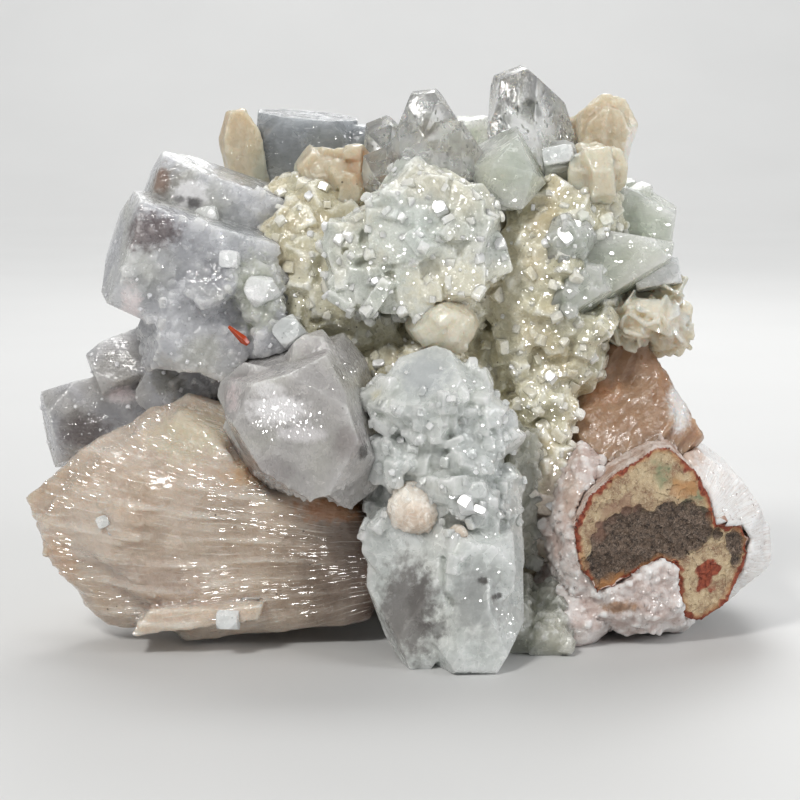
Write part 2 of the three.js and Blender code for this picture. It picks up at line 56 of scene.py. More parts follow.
# ---------------------------------------------------------------- studio
# A pale sweep of matte board, a broad soft lamp high on the left, a weaker one on the
# right and a narrow one from behind, and a long lens a little above the specimen.

TARGET = Vector((-0.00064, -0.00174, 0.0425))
DISTANCE = 0.417
ELEVATION = math.radians(8)
SWEEP_SIZE = 4.0
SWEEP_RISE = 2.2
SWEEP_CURVE = 0.8

camera = bpy.data.objects.new("camera", bpy.data.cameras.new("camera"))
camera.data.lens = 100
camera.data.sensor_width = 36
camera.data.clip_start = 0.01
camera.location = TARGET + DISTANCE * Vector((0, -math.cos(ELEVATION), math.sin(ELEVATION)))
camera.rotation_euler = (math.pi / 2 - ELEVATION, 0, 0)
bpy.context.scene.collection.objects.link(camera)
bpy.context.scene.camera = camera
bpy.context.scene.view_settings.view_transform = "Standard"


def tone(red, green, blue):
    """A colour given in screen values from 0 to 255, as the shader wants it."""
    shares = []
    for value in (red, green, blue):
        shares.append(value / 255 / 12.92 if value < 10 else ((value / 255 + 0.055) / 1.055) ** 2.4)
    return (*shares, 1)


def put(tree, kind, sockets=None, **settings):
    """A node in a tree, with its settings, and its sockets given a value or a link."""
    node = tree.nodes.new(kind)
    for key, value in settings.items():
        setattr(node, key, value)
    for key, value in (sockets or {}).items():
        if isinstance(value, bpy.types.NodeSocket):
            tree.links.new(value, node.inputs[key])
        else:
            node.inputs[key].default_value = value
    return node


def noise_of(tree, place, scale, detail, rough=0.5):
    """Uneven values from 0 to 1 over a place, at a scale per metre."""
    sockets = {"Vector": place, "Scale": scale, "Detail": detail, "Roughness": rough}
    return put(tree, "ShaderNodeTexNoise", sockets).outputs["Fac"]


def finish_named(name):
    """An empty material with its tree, its surface shader and its object coordinates."""
    material = bpy.data.materials.new(name)
    material.use_nodes = True
    tree = material.node_tree
    place = put(tree, "ShaderNodeTexCoord").outputs["Object"]
    return material, tree, tree.nodes["Principled BSDF"], place


def soft_lamp(name, place, width, power, colour, aim=(0, 0, 0.05)):
    """A square area lamp that faces the specimen, or another place."""
    data = bpy.data.lights.new(name, "AREA")
    data.size = width
    data.energy = power
    data.color = colour
    lamp = bpy.data.objects.new(name, data)
    lamp.location = place
    lamp.rotation_euler = (Vector(aim) - Vector(place)).to_track_quat("-Z", "Y").to_euler()
    bpy.context.scene.collection.objects.link(lamp)


KEY_LAMP = Vector((-0.30, -0.55, 0.62))
soft_lamp("key_lamp", KEY_LAMP, 0.16, 3.7, (1.0, 0.985, 0.96))
soft_lamp("side_lamp", (0.62, -0.35, 0.38), 0.3, 2.0, (0.97, 0.98, 1.0))
soft_lamp("back_lamp", (0.1, 0.55, 0.5), 0.3, 1.5, (1.0, 1.0, 1.0))
soft_lamp("sweep_lamp", (0, 0.9, 1.5), 1.2, 22.0, (1.0, 1.0, 1.0), aim=(0, 1.9, 0))

world = bpy.data.worlds.new("studio")
world.use_nodes = True
world.node_tree.nodes["Background"].inputs["Color"].default_value = (0.86, 0.88, 0.9, 1)
world.node_tree.nodes["Background"].inputs["Strength"].default_value = 0.29
bpy.context.scene.world = world

bpy.ops.object.select_all(action="DESELECT")
bpy.ops.mesh.primitive_plane_add(size=SWEEP_SIZE, location=(0, 0, 0))
sweep = bpy.context.object
sweep.name = "studio_floor"
for vertex in sweep.data.vertices:
    vertex.select = vertex.co.y > 0
for edge in sweep.data.edges:
    edge.select = all(sweep.data.vertices[i].select for i in edge.vertices)
for face in sweep.data.polygons:
    face.select = False
bpy.ops.object.mode_set(mode="EDIT")
bpy.ops.mesh.select_mode(type="EDGE")
bpy.ops.mesh.extrude_region_move(TRANSFORM_OT_translate={"value": (0, 0, SWEEP_RISE)})
bpy.ops.object.mode_set(mode="OBJECT")
corner = sweep.modifiers.new("corner", "BEVEL")
corner.width = SWEEP_CURVE
corner.segments = 16
bpy.ops.object.modifier_apply(modifier="corner")
bpy.ops.object.shade_smooth()
board, tree, shader, place = finish_named("pale_board")
mottle = noise_of(tree, place, 9.0, 3.0)
pale = {0: mottle, 6: tone(205, 205, 204), 7: tone(212, 212, 211)}
shade = put(tree, "ShaderNodeMix", pale, data_type="RGBA")
tree.links.new(shade.outputs[2], shader.inputs["Base Color"])
shader.inputs["Roughness"].default_value = 0.6
sweep.data.materials.append(board)

# ---------------------------------------------------------------- apophyllite: large crystals
# Square prisms of apophyllite with cut corners and a flat pearly end, milky inside, with
# veils, small cracks that flash, and grains of dark clay. They grew one into another.


def group_of(name, inputs, outputs):
    """A shader group with named sockets, its inputs and its outputs."""
    tree = bpy.data.node_groups.new(name, "ShaderNodeTree")
    for label, kind, value in inputs:
        socket = tree.interface.new_socket(label, in_out="INPUT", socket_type=kind)
        socket.default_value = value
    for label, kind in outputs:
        tree.interface.new_socket(label, in_out="OUTPUT", socket_type=kind)
    return tree, put(tree, "NodeGroupInput").outputs, put(tree, "NodeGroupOutput").inputs


def math_of(tree, operation, a, b=0.0, c=0.0, clamp=False):
    return put(
        tree, "ShaderNodeMath", {0: a, 1: b, 2: c}, operation=operation, use_clamp=clamp
    ).outputs[0]


def ramp_of(tree, value, low, high, out_low=0.0, out_high=1.0):
    return put(
        tree,
        "ShaderNodeMapRange",
        {"Value": value, "From Min": low, "From Max": high, "To Min": out_low, "To Max": out_high},
        interpolation_type="SMOOTHSTEP",
    ).outputs["Result"]


def vector_of(tree, operation, a, b=(0, 0, 0)):
    """Maths on two vectors, or on a vector and a scale."""
    sockets = {0: a, "Scale": b} if operation == "SCALE" else {0: a, 1: b}
    made = put(tree, "ShaderNodeVectorMath", sockets, operation=operation).outputs
    return made["Value"] if operation in ("LENGTH", "DOT_PRODUCT") else made[0]


def mix_of(tree, share, a, b, blend="MIX"):
    return put(
        tree, "ShaderNodeMix", {0: share, 6: a, 7: b}, data_type="RGBA", blend_type=blend
    ).outputs[2]


# Small flat facets that each face a little their own way, as on a cracked or sugary crystal.
# Chips run over them, and a wobble in metres bends the seams between them.
MIDDLE = (0.5, 0.5, 0.5)
WOBBLE = 0.0022
CHIPS_PER_FACET = 2.7
CHIPS_LEAN = 0.6
facets, ins, outs = group_of(
    "flashing_facets",
    [
        ("Place", "NodeSocketVector", (0, 0, 0)),
        ("Per Metre", "NodeSocketFloat", 400.0),
        ("Turn", "NodeSocketFloat", 0.2),
    ],
    [("Normal", "NodeSocketVector"), ("Cell", "NodeSocketFloat"), ("Seam", "NodeSocketFloat")],
)
wobble = put(facets, "ShaderNodeTexNoise", {"Vector": ins["Place"], "Scale": 500.0, "Detail": 1.0})
shift = vector_of(facets, "SUBTRACT", wobble.outputs["Color"], MIDDLE)
moved = vector_of(facets, "ADD", ins["Place"], vector_of(facets, "SCALE", shift, WOBBLE))
cells = put(facets, "ShaderNodeTexVoronoi", {"Vector": moved, "Scale": ins["Per Metre"]})
chips = put(
    facets, "ShaderNodeTexVoronoi",
    {"Vector": moved, "Scale": math_of(facets, "MULTIPLY", ins["Per Metre"], CHIPS_PER_FACET)}
)
seams = put(
    facets, "ShaderNodeTexVoronoi", {"Vector": moved, "Scale": ins["Per Metre"]},
    feature="DISTANCE_TO_EDGE"
)
lean = vector_of(facets, "SUBTRACT", cells.outputs["Color"], MIDDLE)
less = vector_of(facets, "SUBTRACT", chips.outputs["Color"], MIDDLE)
less = vector_of(facets, "SCALE", less, CHIPS_LEAN)
lean = vector_of(facets, "SCALE", vector_of(facets, "ADD", lean, less), ins["Turn"])
out = put(facets, "ShaderNodeNewGeometry").outputs["Normal"]
leant = vector_of(facets, "ADD", out, lean)
facets.links.new(vector_of(facets, "NORMALIZE", leant), outs["Normal"])
pick = put(facets, "ShaderNodeSeparateColor", {0: cells.outputs["Color"]}).outputs[0]
pick = math_of(
    facets, "MULTIPLY_ADD",
    put(facets, "ShaderNodeSeparateColor", {0: chips.outputs["Color"]}).outputs[1], 0.5, pick
)
facets.links.new(math_of(facets, "MULTIPLY", pick, 0.67), outs["Cell"])
facets.links.new(ramp_of(facets, seams.outputs["Distance"], 0.07, 0.01), outs["Seam"])

# Tiny faces that grew parallel, a share of them all. They look forwards, up and a little to
# the left, each a bit its own way, and flash where that throws a lamp's light on.
FACES_LOOK = Vector((-0.17, -0.87, 0.46))
FACES_SPREAD = (0.34, 0.2, 0.24)
glints, ins, outs = group_of(
    "glints",
    [
        ("Cells At", "NodeSocketVector", (0, 0, 0)),
        ("Normal", "NodeSocketVector", (0, 0, 1)),
        ("Share", "NodeSocketFloat", 0.1),
    ],
    [("Normal", "NodeSocketVector"), ("Mask", "NodeSocketFloat")],
)
tiles = put(glints, "ShaderNodeTexVoronoi", {"Vector": ins["Cells At"], "Scale": 1.0})
chosen = put(glints, "ShaderNodeSeparateColor", {0: tiles.outputs["Color"]}).outputs[0]
chosen = math_of(glints, "LESS_THAN", chosen, ins["Share"])
chosen = math_of(glints, "MULTIPLY", chosen, ramp_of(glints, tiles.outputs["Distance"], 0.56, 0.46))
out = put(glints, "ShaderNodeNewGeometry").outputs["Normal"]
near = vector_of(glints, "DOT_PRODUCT", out, FACES_LOOK)
chosen = math_of(glints, "MULTIPLY", chosen, ramp_of(glints, near, 0.1, 0.4))
lean = vector_of(glints, "SUBTRACT", tiles.outputs["Color"], MIDDLE)
lean = vector_of(glints, "ADD", vector_of(glints, "MULTIPLY", lean, FACES_SPREAD), FACES_LOOK)
lean = vector_of(glints, "NORMALIZE", lean)
glints.links.new(
    put(glints, "ShaderNodeMix", {0: chosen, 4: ins["Normal"], 5: lean}, data_type="VECTOR").outputs[1],
    outs["Normal"]
)
glints.links.new(chosen, outs["Mask"])


def glinting(tree, shader, cells_at, normal, roughness, share):
    """Puts glints over a finish, which keeps its own normal and roughness between them."""
    spark = put(tree, "ShaderNodeGroup", node_tree=glints)
    for label, value in {"Cells At": cells_at, "Normal": normal}.items():
        tree.links.new(value, spark.inputs[label])
    if isinstance(share, float):
        spark.inputs["Share"].default_value = share
    else:
        tree.links.new(share, spark.inputs["Share"])
    tree.links.new(spark.outputs["Normal"], shader.inputs["Normal"])
    dull = ramp_of(tree, spark.outputs["Mask"], 0.0, 1.0, 1.0, 0.3)
    tree.links.new(math_of(tree, "MULTIPLY", roughness, dull), shader.inputs["Roughness"])
    return spark.outputs["Mask"]


# The body of a crystal: clear and milky patches, fine mottling and dark grains. Crevices are
# darker with painted shade, ridges lighter with frosted edges and a painted highlight, and seams and
# broken facets lighter.
milk, ins, outs = group_of(
    "milky_body",
    [
        ("Place", "NodeSocketVector", (0, 0, 0)),
        ("Clear", "NodeSocketColor", (0.7, 0.75, 0.75, 1)),
        ("Milky", "NodeSocketColor", (0.9, 0.92, 0.92, 1)),
        ("Stain", "NodeSocketColor", (0.6, 0.6, 0.45, 1)),
        ("Crevice Shade", "NodeSocketColor", (0.3, 0.27, 0.18, 1)),
        ("Patches Per Metre", "NodeSocketFloat", 110.0),
        ("Stained", "NodeSocketFloat", 0.2),
        ("Grains", "NodeSocketFloat", 0.3),
        ("Cell", "NodeSocketFloat", 0.5),
        ("Seam", "NodeSocketFloat", 0.0),
        ("Hollow", "NodeSocketFloat", 0.0),
    ],
    [("Colour", "NodeSocketColor"), ("Roughness", "NodeSocketFloat"), ("Height", "NodeSocketFloat")],
)
patches = put(
    milk, "ShaderNodeTexNoise",
    {"Vector": ins["Place"], "Scale": ins["Patches Per Metre"], "Detail": 3.0, "Roughness": 0.62}
)
veil = ramp_of(milk, patches.outputs["Fac"], 0.34, 0.68)
fine = noise_of(milk, ins["Place"], 1300.0, 2.0, 0.7)
body = mix_of(milk, veil, ins["Clear"], ins["Milky"])
broad = noise_of(milk, ins["Place"], 80.0, 2.0)
rust = math_of(milk, "MULTIPLY", ramp_of(milk, broad, 0.45, 0.7), ins["Stained"])
body = mix_of(milk, rust, body, ins["Stain"])
# Painted shade: darker where the surface lies deep in a crevice.
body = mix_of(milk, ramp_of(milk, ins["Hollow"], 0.3, 2.2, 0.0, 0.6), body, ins["Crevice Shade"])
# Lighter where the surface stands on a ridge: frosted edges and a painted highlight.
body = mix_of(milk, ramp_of(milk, ins["Hollow"], -0.3, -1.6, 0.0, 0.5), body, tone(255, 255, 250))
body = mix_of(milk, ins["Seam"], body, tone(255, 255, 252))
# Each facet a little lighter or darker than the next: its own tone and a painted reflection.
flicker = math_of(milk, "MULTIPLY_ADD", ins["Cell"], 0.22, 0.83)
flicker = math_of(milk, "MULTIPLY_ADD", fine, 0.16, flicker)
grey = put(milk, "ShaderNodeCombineColor", {0: flicker, 1: flicker, 2: flicker})
body = mix_of(milk, 1.0, body, grey.outputs[0], "MULTIPLY")
grains = put(milk, "ShaderNodeTexVoronoi", {"Vector": ins["Place"], "Scale": 640.0})
dots = ramp_of(milk, grains.outputs["Distance"], 0.13, 0.08)
dots = math_of(milk, "MULTIPLY", dots, ramp_of(milk, broad, 0.53, 0.47))
dots = math_of(milk, "MULTIPLY", dots, ins["Grains"], clamp=True)
body = mix_of(milk, dots, body, tone(38, 33, 30))
milk.links.new(body, outs["Colour"])
gloss = math_of(milk, "MULTIPLY", ins["Cell"], ins["Cell"])
milk.links.new(
    math_of(milk, "MULTIPLY_ADD", gloss, 0.4, math_of(milk, "MULTIPLY_ADD", veil, 0.08, 0.03)),
    outs["Roughness"]
)
milk.links.new(fine, outs["Height"])

# An uneven patch round a spot: a stain, a white veil, a dark inclusion, or painted shade.
ragged_patch, ins, outs = group_of(
    "ragged_patch",
    [
        ("Place", "NodeSocketVector", (0, 0, 0)),
        ("Middle", "NodeSocketVector", (0, 0, 0)),
        ("Size", "NodeSocketVector", (0.002, 0.002, 0.002)),
        ("Ragged", "NodeSocketFloat", 0.5),
    ],
    [("Mask", "NodeSocketFloat")],
)
away = vector_of(ragged_patch, "SUBTRACT", ins["Place"], ins["Middle"])
away = vector_of(ragged_patch, "LENGTH", vector_of(ragged_patch, "DIVIDE", away, ins["Size"]))
away = math_of(ragged_patch, "MULTIPLY_ADD", ins["Ragged"], 1.2, away)
ragged_patch.links.new(ramp_of(ragged_patch, away, 1.6, 1.0), outs["Mask"])


def patch_at(tree, place, ragged, middle, size):
    """The mask of one ragged patch, by its middle and half sizes in millimetres."""
    patch = put(tree, "ShaderNodeGroup", node_tree=ragged_patch)
    tree.links.new(place, patch.inputs["Place"])
    tree.links.new(ragged, patch.inputs["Ragged"])
    patch.inputs["Middle"].default_value = [v / 1000 for v in middle]
    patch.inputs["Size"].default_value = [v / 1000 for v in size]
    return patch.outputs["Mask"]


def marked(tree, place, colour, marks):
    """A colour with ragged patches over it, some of them painted shade: a tone, a strength, a middle
    and half sizes each.
    """
    ragged = noise_of(tree, place, 640.0, 3.0, 0.65)
    for patch_tone, strength, middle, size in marks:
        mask = patch_at(tree, place, ragged, middle, size)
        colour = mix_of(tree, math_of(tree, "MULTIPLY", mask, strength), colour, patch_tone)
    return colour


def attribute_of(tree, name):
    return put(tree, "ShaderNodeAttribute", attribute_name=name).outputs["Fac"]


APOPHYLLITE_IOR = 1.535
FINE_RELIEF = 0.0004
FROST_SHARE = 0.65
TILES_PER_METRE = 1900


def crystal_finish(
    name,
    clear,
    milky,
    stain,
    see_through,
    patches=110.0,
    stained=0.2,
    grains=0.3,
    cells=400.0,
    turn=0.12,
    seams=0.0,
    crevice_shade=tone(150, 142, 112),
    bump=0.25,
    marks=(),
    lines=None,
    deep=0.01,
    sparkle=0.12,
    frosted=None,
):
    """The finish of a crystal: how clear and milky it is, how broken its faces are, and the painted
    shade of its crevices.

    The middle and half sizes in mm of a frosted patch may follow, where tiny faces glitter.
    """
    material, tree, shader, place = finish_named(name)
    flash = put(tree, "ShaderNodeGroup", node_tree=facets)
    flash.inputs["Per Metre"].default_value = cells
    flash.inputs["Turn"].default_value = turn
    tree.links.new(place, flash.inputs["Place"])
    body = put(tree, "ShaderNodeGroup", node_tree=milk)
    for label, value in {
        "Clear": clear,
        "Milky": milky,
        "Stain": stain,
        "Crevice Shade": crevice_shade,
        "Patches Per Metre": patches,
        "Stained": stained,
        "Grains": grains,
    }.items():
        body.inputs[label].default_value = value
    tree.links.new(place, body.inputs["Place"])
    tree.links.new(flash.outputs["Cell"], body.inputs["Cell"])
    if seams:
        tree.links.new(math_of(tree, "MULTIPLY", flash.outputs["Seam"], seams), body.inputs["Seam"])
    # The hollow measure paints shade into crevices and a highlight onto ridges.
    tree.links.new(attribute_of(tree, "hollow"), body.inputs["Hollow"])
    own = attribute_of(tree, "tint")
    lighter = math_of(tree, "MULTIPLY_ADD", own, 0.12, 1.0)
    hue = put(tree, "ShaderNodeHueSaturation", {"Value": lighter, "Color": body.outputs["Colour"]})
    tree.links.new(marked(tree, place, hue.outputs[0], marks), shader.inputs["Base Color"])
    height = body.outputs["Height"]
    if lines:
        stretched = vector_of(tree, "MULTIPLY", place, lines)
        drawn = noise_of(tree, stretched, 1.0, 2.0)
        height = math_of(tree, "MULTIPLY_ADD", drawn, 1.4, height)
    relief = put(
        tree, "ShaderNodeBump",
        {"Strength": bump, "Distance": FINE_RELIEF, "Height": height, "Normal": flash.outputs["Normal"]}
    )
    tile = [max(v, 900) * 1.3 for v in lines] if lines else [TILES_PER_METRE] * 3
    tiled = vector_of(tree, "MULTIPLY", place, tile)
    share = sparkle
    if frosted:
        frost = patch_at(tree, place, body.outputs["Height"], *frosted)
        share = math_of(tree, "MULTIPLY_ADD", frost, FROST_SHARE, sparkle)
    glinting(tree, shader, tiled, relief.outputs[0], body.outputs["Roughness"], share)
    shader.inputs["IOR"].default_value = APOPHYLLITE_IOR
    shader.inputs["Specular IOR Level"].default_value = 0.8
    shader.inputs["Transmission Weight"].default_value = see_through
    shader.inputs["Subsurface Weight"].default_value = 1.0
    shader.inputs["Subsurface Radius"].default_value = (1.0, 1.0, 1.0)
    shader.inputs["Subsurface Scale"].default_value = deep
    return material


def select_only(piece):
    bpy.ops.object.select_all(action="DESELECT")
    piece.select_set(True)
    bpy.context.view_layer.objects.active = piece


def apply_all(piece):
    select_only(piece)
    for name in [m.name for m in piece.modifiers]:
        bpy.ops.object.modifier_apply(modifier=name)


def copy_of(name, *nodes):
    """One mesh with the shape of some solids, its corners joined and its flat faces whole."""
    copies = [bpy.data.objects.new(name, frame["nodes"][n].data.copy()) for n in nodes]
    bpy.ops.object.select_all(action="DESELECT")
    for one in copies:
        one.data.materials.clear()
        bpy.context.scene.collection.objects.link(one)
        one.select_set(True)
    bpy.context.view_layer.objects.active = copies[0]
    if len(copies) > 1:
        bpy.ops.object.join()
    piece = copies[0]
    piece.name = name
    bpy.ops.object.mode_set(mode="EDIT")
    bpy.ops.mesh.select_all(action="SELECT")
    bpy.ops.mesh.remove_doubles(threshold=1e-6)
    bpy.ops.mesh.dissolve_limited(angle_limit=math.radians(0.6))
    bpy.ops.object.mode_set(mode="OBJECT")
    return piece


def large_crystals(node, material, edge=0.00035):
    """The crystals of one solid, with their edges a little worn."""
    piece = copy_of(node + "_crystals", node)
    worn = piece.modifiers.new("worn_edges", "BEVEL")
    worn.width = edge
    worn.segments = 2
    worn.limit_method = "ANGLE"
    worn.angle_limit = math.radians(18)
    apply_all(piece)
    bpy.ops.object.shade_smooth_by_angle(angle=math.radians(22))
    piece.data.materials.append(material)
    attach(piece, "root")
    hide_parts(node)
    return piece


clear_stone = crystal_finish(
    "clear_apophyllite",
    tone(250, 252, 249),
    tone(255, 255, 255),
    tone(246, 240, 220),
    0.8,
    stained=0.3,
    grains=0.0,
    turn=0.14,
    patches=170.0,
    lines=(1500, 1500, 200),
    bump=0.16,
    sparkle=0.12,
    marks=[
        (tone(255, 255, 255), 0.9, (16.4, -9, 99.0), (3.0, 8, 3.6)),
        (tone(255, 255, 255), 0.9, (21.4, -9, 91.6), (4.6, 8, 2.4)),
        (tone(110, 112, 106), 0.8, (23.0, -9, 96.6), (3.4, 8, 2.6)),
        (tone(120, 122, 116), 0.7, (18.6, -9, 95.0), (1.6, 8, 2.4)),
        (tone(128, 122, 114), 0.6, (8.6, -12, 88.0), (3.0, 8, 4.0)),
        (tone(255, 255, 255), 0.8, (-4.6, -11, 88.6), (3.0, 8, 2.6)),
        (tone(160, 150, 144), 0.6, (4.4, -13, 93.4), (2.4, 8, 2.4)),
        (tone(176, 160, 150), 0.6, (-1.6, -13, 87.6), (2.0, 8, 2.6)),
    ],
)
lavender_stone = crystal_finish(
    "lavender_apophyllite", tone(130, 134, 136), tone(166, 170, 174), tone(146, 148, 138), 0.2,
    stained=0.4, turn=0.2, lines=(200, 1500, 1500), bump=0.35
)
green_stone = crystal_finish(
    "green_apophyllite", tone(200, 206, 194), tone(229, 232, 223), tone(232, 226, 200), 0.25, turn=0.25,
    lines=(250, 1500, 1500), bump=0.35
)

for node in ("top", "tall_point", "back"):
    large_crystals("apophyllite_" + node, clear_stone)
for node in ("back_left", "back_low"):
    large_crystals("apophyllite_" + node, lavender_stone)
for node in ("green", "back_top"):
    large_crystals("apophyllite_" + node, green_stone)

# ---------------------------------------------------------------- druse: bed of small crystals
# Cream to pale green crystals a few millimetres wide, grown in a crust over the bed that
# carries the large ones. They stand at all angles and most are half sunk in their neighbours.

seeds = bpy.data.collections.new("crystal_seeds")
plates = bpy.data.collections.new("plate_seeds")
HEAD = 0.42


def small_crystal(name, wide, deep, tall, cut, kind=seeds):
    """A small crystal one unit wide, its end a head above its origin and its corners cut."""
    bpy.ops.object.select_all(action="DESELECT")
    bpy.ops.mesh.primitive_cube_add(size=1, location=(0, 0, 0))
    piece = bpy.context.object
    piece.name = name
    bpy.ops.object.mode_set(mode="EDIT")
    bpy.ops.transform.resize(value=(wide, deep, tall))
    bpy.ops.transform.translate(value=(0, 0, HEAD - tall / 2))
    for x in (-1, 1):
        for y in (-1, 1):
            bpy.ops.mesh.select_all(action="SELECT")
            bpy.ops.mesh.bisect(
                plane_co=(x * wide / 2, y * deep / 2, HEAD - cut * (1 + 0.25 * x)),
                plane_no=(x, y, 0.8),
                use_fill=True,
                clear_outer=True,
            )
    bpy.ops.mesh.select_all(action="SELECT")
    bpy.ops.mesh.bevel(offset=0.025, segments=1, affect="EDGES")
    bpy.ops.object.mode_set(mode="OBJECT")
    for home in list(piece.users_collection):
        home.objects.unlink(piece)
    kind.objects.link(piece)


small_crystal("seed_cube", 1.0, 0.95, 1.2, 0.3)
small_crystal("seed_point", 0.85, 0.8, 1.3, 0.5)
small_crystal("seed_plate", 1.2, 0.7, 1.1, 0.25)
small_crystal("seed_block", 1.1, 1.0, 1.0, 0.4)
small_crystal("thin_plate", 1.2, 0.2, 1.3, 0.34, plates)
small_crystal("round_plate", 1.0, 0.16, 1.2, 0.5, plates)


def ground_of(name, source, keep):
    """The faces of solids, or of a piece, that small crystals grow on: those for which keep is true."""
    if isinstance(source, list):
        piece = copy_of(name, *source)
    else:
        piece = bpy.data.objects.new(name, source.data.copy())
        bpy.context.scene.collection.objects.link(piece)
        select_only(piece)
    bpy.ops.object.mode_set(mode="EDIT")
    bpy.ops.mesh.select_all(action="DESELECT")
    bpy.ops.mesh.quads_convert_to_tris()
    bpy.ops.mesh.select_mode(type="FACE")
    bpy.ops.object.mode_set(mode="OBJECT")
    for face in piece.data.polygons:
        face.select = not keep(face.center, face.normal)
    bpy.ops.object.mode_set(mode="EDIT")
    bpy.ops.mesh.delete(type="FACE")
    bpy.ops.object.mode_set(mode="OBJECT")
    return piece


def grow(
    piece, material, gap, small, large, tilt, seed, flat=1.0, along=None, kinds=seeds, power=2.5,
    flash=0.0
):
    """Crystals from small to large, in metres wide, in place of the ground they grow on."""
    tree = bpy.data.node_groups.new(piece.name, "GeometryNodeTree")
    tree.interface.new_socket("Geometry", in_out="INPUT", socket_type="NodeSocketGeometry")
    tree.interface.new_socket("Geometry", in_out="OUTPUT", socket_type="NodeSocketGeometry")
    ground = put(tree, "NodeGroupInput").outputs[0]
    points = put(
        tree,
        "GeometryNodeDistributePointsOnFaces",
        {"Mesh": ground, "Distance Min": gap, "Density Max": 2.5 / gap**2, "Seed": seed},
        distribute_method="POISSON",
    )

    def chance(low, high, number):
        return put(
            tree, "FunctionNodeRandomValue", {2: low, 3: high, "Seed": seed * 7 + number}
        ).outputs[1]

    facing = points.outputs["Normal"]
    if flash:
        facing = put(
            tree, "ShaderNodeMix", {0: flash, 4: facing, 5: FACES_LOOK}, data_type="VECTOR"
        ).outputs[1]
        along = (0, 0, -1)

    spin = 3.2 if along is None or flash else 0.1
    lean = {0: chance(-tilt, tilt, 1), 1: chance(-tilt, tilt, 2), 2: chance(-spin, spin, 3)}
    lean = put(tree, "ShaderNodeCombineXYZ", lean)
    lean = put(tree, "FunctionNodeEulerToRotation", {0: lean.outputs[0]})
    stand = points.outputs["Rotation"]
    if along is not None:
        up = put(tree, "FunctionNodeAlignRotationToVector", {"Vector": facing}, axis="Z")
        away = vector_of(tree, "SUBTRACT", put(tree, "GeometryNodeInputPosition").outputs[0], along)
        stand = put(
            tree, "FunctionNodeAlignRotationToVector", {"Rotation": up.outputs[0], "Vector": away},
            axis="X", pivot_axis="Z"
        ).outputs[0]
    turn = put(
        tree, "FunctionNodeRotateRotation", {0: stand, 1: lean.outputs[0]}, rotation_space="LOCAL"
    )
    size = math_of(tree, "POWER", chance(0.0, 1.0, 4), power)
    size = math_of(tree, "MULTIPLY_ADD", size, large - small, small)
    tall = math_of(tree, "MULTIPLY", size, chance(0.8 * flat, 1.2 * flat, 5))
    scale = put(tree, "ShaderNodeCombineXYZ", {0: size, 1: size, 2: tall})
    placed = put(
        tree,
        "GeometryNodeInstanceOnPoints",
        {
            "Points": points.outputs["Points"],
            "Instance": put(
                tree, "GeometryNodeCollectionInfo", {"Collection": kinds, "Separate Children": True}
            ).outputs[0],
            "Pick Instance": True,
            "Instance Index": put(
                tree, "FunctionNodeRandomValue", {4: 0, 5: len(kinds.objects) - 1, "Seed": seed},
                data_type="INT"
            ).outputs[2],
            "Rotation": turn.outputs[0],
            "Scale": scale.outputs[0],
        },
    )
    own = put(
        tree, "GeometryNodeStoreNamedAttribute",
        {"Geometry": placed.outputs[0], "Name": "tint", "Value": chance(-0.5, 0.5, 6)},
        data_type="FLOAT", domain="INSTANCE"
    )
    real = put(tree, "GeometryNodeRealizeInstances", {0: own.outputs[0]})
    dressed = put(tree, "GeometryNodeSetMaterial", {"Geometry": real.outputs[0], "Material": material})
    tree.links.new(dressed.outputs[0], put(tree, "NodeGroupOutput").inputs[0])
    piece.modifiers.new("growth", "NODES").node_group = tree
    apply_all(piece)
    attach(piece, "root")
    return piece


def remeshed(piece, cell, smooth=0):
    """The piece made again of small even faces, so that it can be shaped."""
    even = piece.modifiers.new("even_faces", "REMESH")
    even.mode = "VOXEL"
    even.voxel_size = cell
    if smooth:
        eased = piece.modifiers.new("eased", "SMOOTH")
        eased.iterations = smooth
    apply_all(piece)
    bpy.ops.object.shade_smooth()


HOLLOW_SPREAD = 12
HOLLOW_DEPTH = 0.0003


def keep_hollows(piece):
    """Notes at each corner of a piece how deep it lies in a hollow, or stands on a ridge, for painted
    shade in hollows and a painted highlight on ridges.
    """
    tree = bpy.data.node_groups.new(piece.name + "_hollows", "GeometryNodeTree")
    tree.interface.new_socket("Geometry", in_out="INPUT", socket_type="NodeSocketGeometry")
    tree.interface.new_socket("Geometry", in_out="OUTPUT", socket_type="NodeSocketGeometry")
    spot = put(tree, "GeometryNodeInputPosition").outputs[0]
    eased = put(tree, "GeometryNodeBlurAttribute", data_type="FLOAT_VECTOR")
    vectors = [s for s in eased.inputs if s.type == "VECTOR"]
    tree.links.new(spot, vectors[0])
    eased.inputs["Iterations"].default_value = HOLLOW_SPREAD
    smooth = [s for s in eased.outputs if s.type == "VECTOR"][0]
    away = vector_of(tree, "SUBTRACT", smooth, spot)
    deep = vector_of(tree, "DOT_PRODUCT", away, put(tree, "GeometryNodeInputNormal").outputs[0])
    kept = put(
        tree,
        "GeometryNodeStoreNamedAttribute",
        {
            "Geometry": put(tree, "NodeGroupInput").outputs[0], "Name": "hollow",
            "Value": math_of(tree, "DIVIDE", deep, HOLLOW_DEPTH)
        },
        data_type="FLOAT",
        domain="POINT",
    )
    tree.links.new(kept.outputs[0], put(tree, "NodeGroupOutput").inputs[0])
    piece.modifiers.new("hollows", "NODES").node_group = tree
    apply_all(piece)


def cut_by(piece, spot, facing):
    """Cuts away what lies in front of a plane and closes the cut."""
    select_only(piece)
    bpy.ops.object.mode_set(mode="EDIT")
    bpy.ops.mesh.select_all(action="SELECT")
    bpy.ops.mesh.bisect(plane_co=spot, plane_no=facing, use_fill=True, clear_outer=True)
    bpy.ops.object.mode_set(mode="OBJECT")


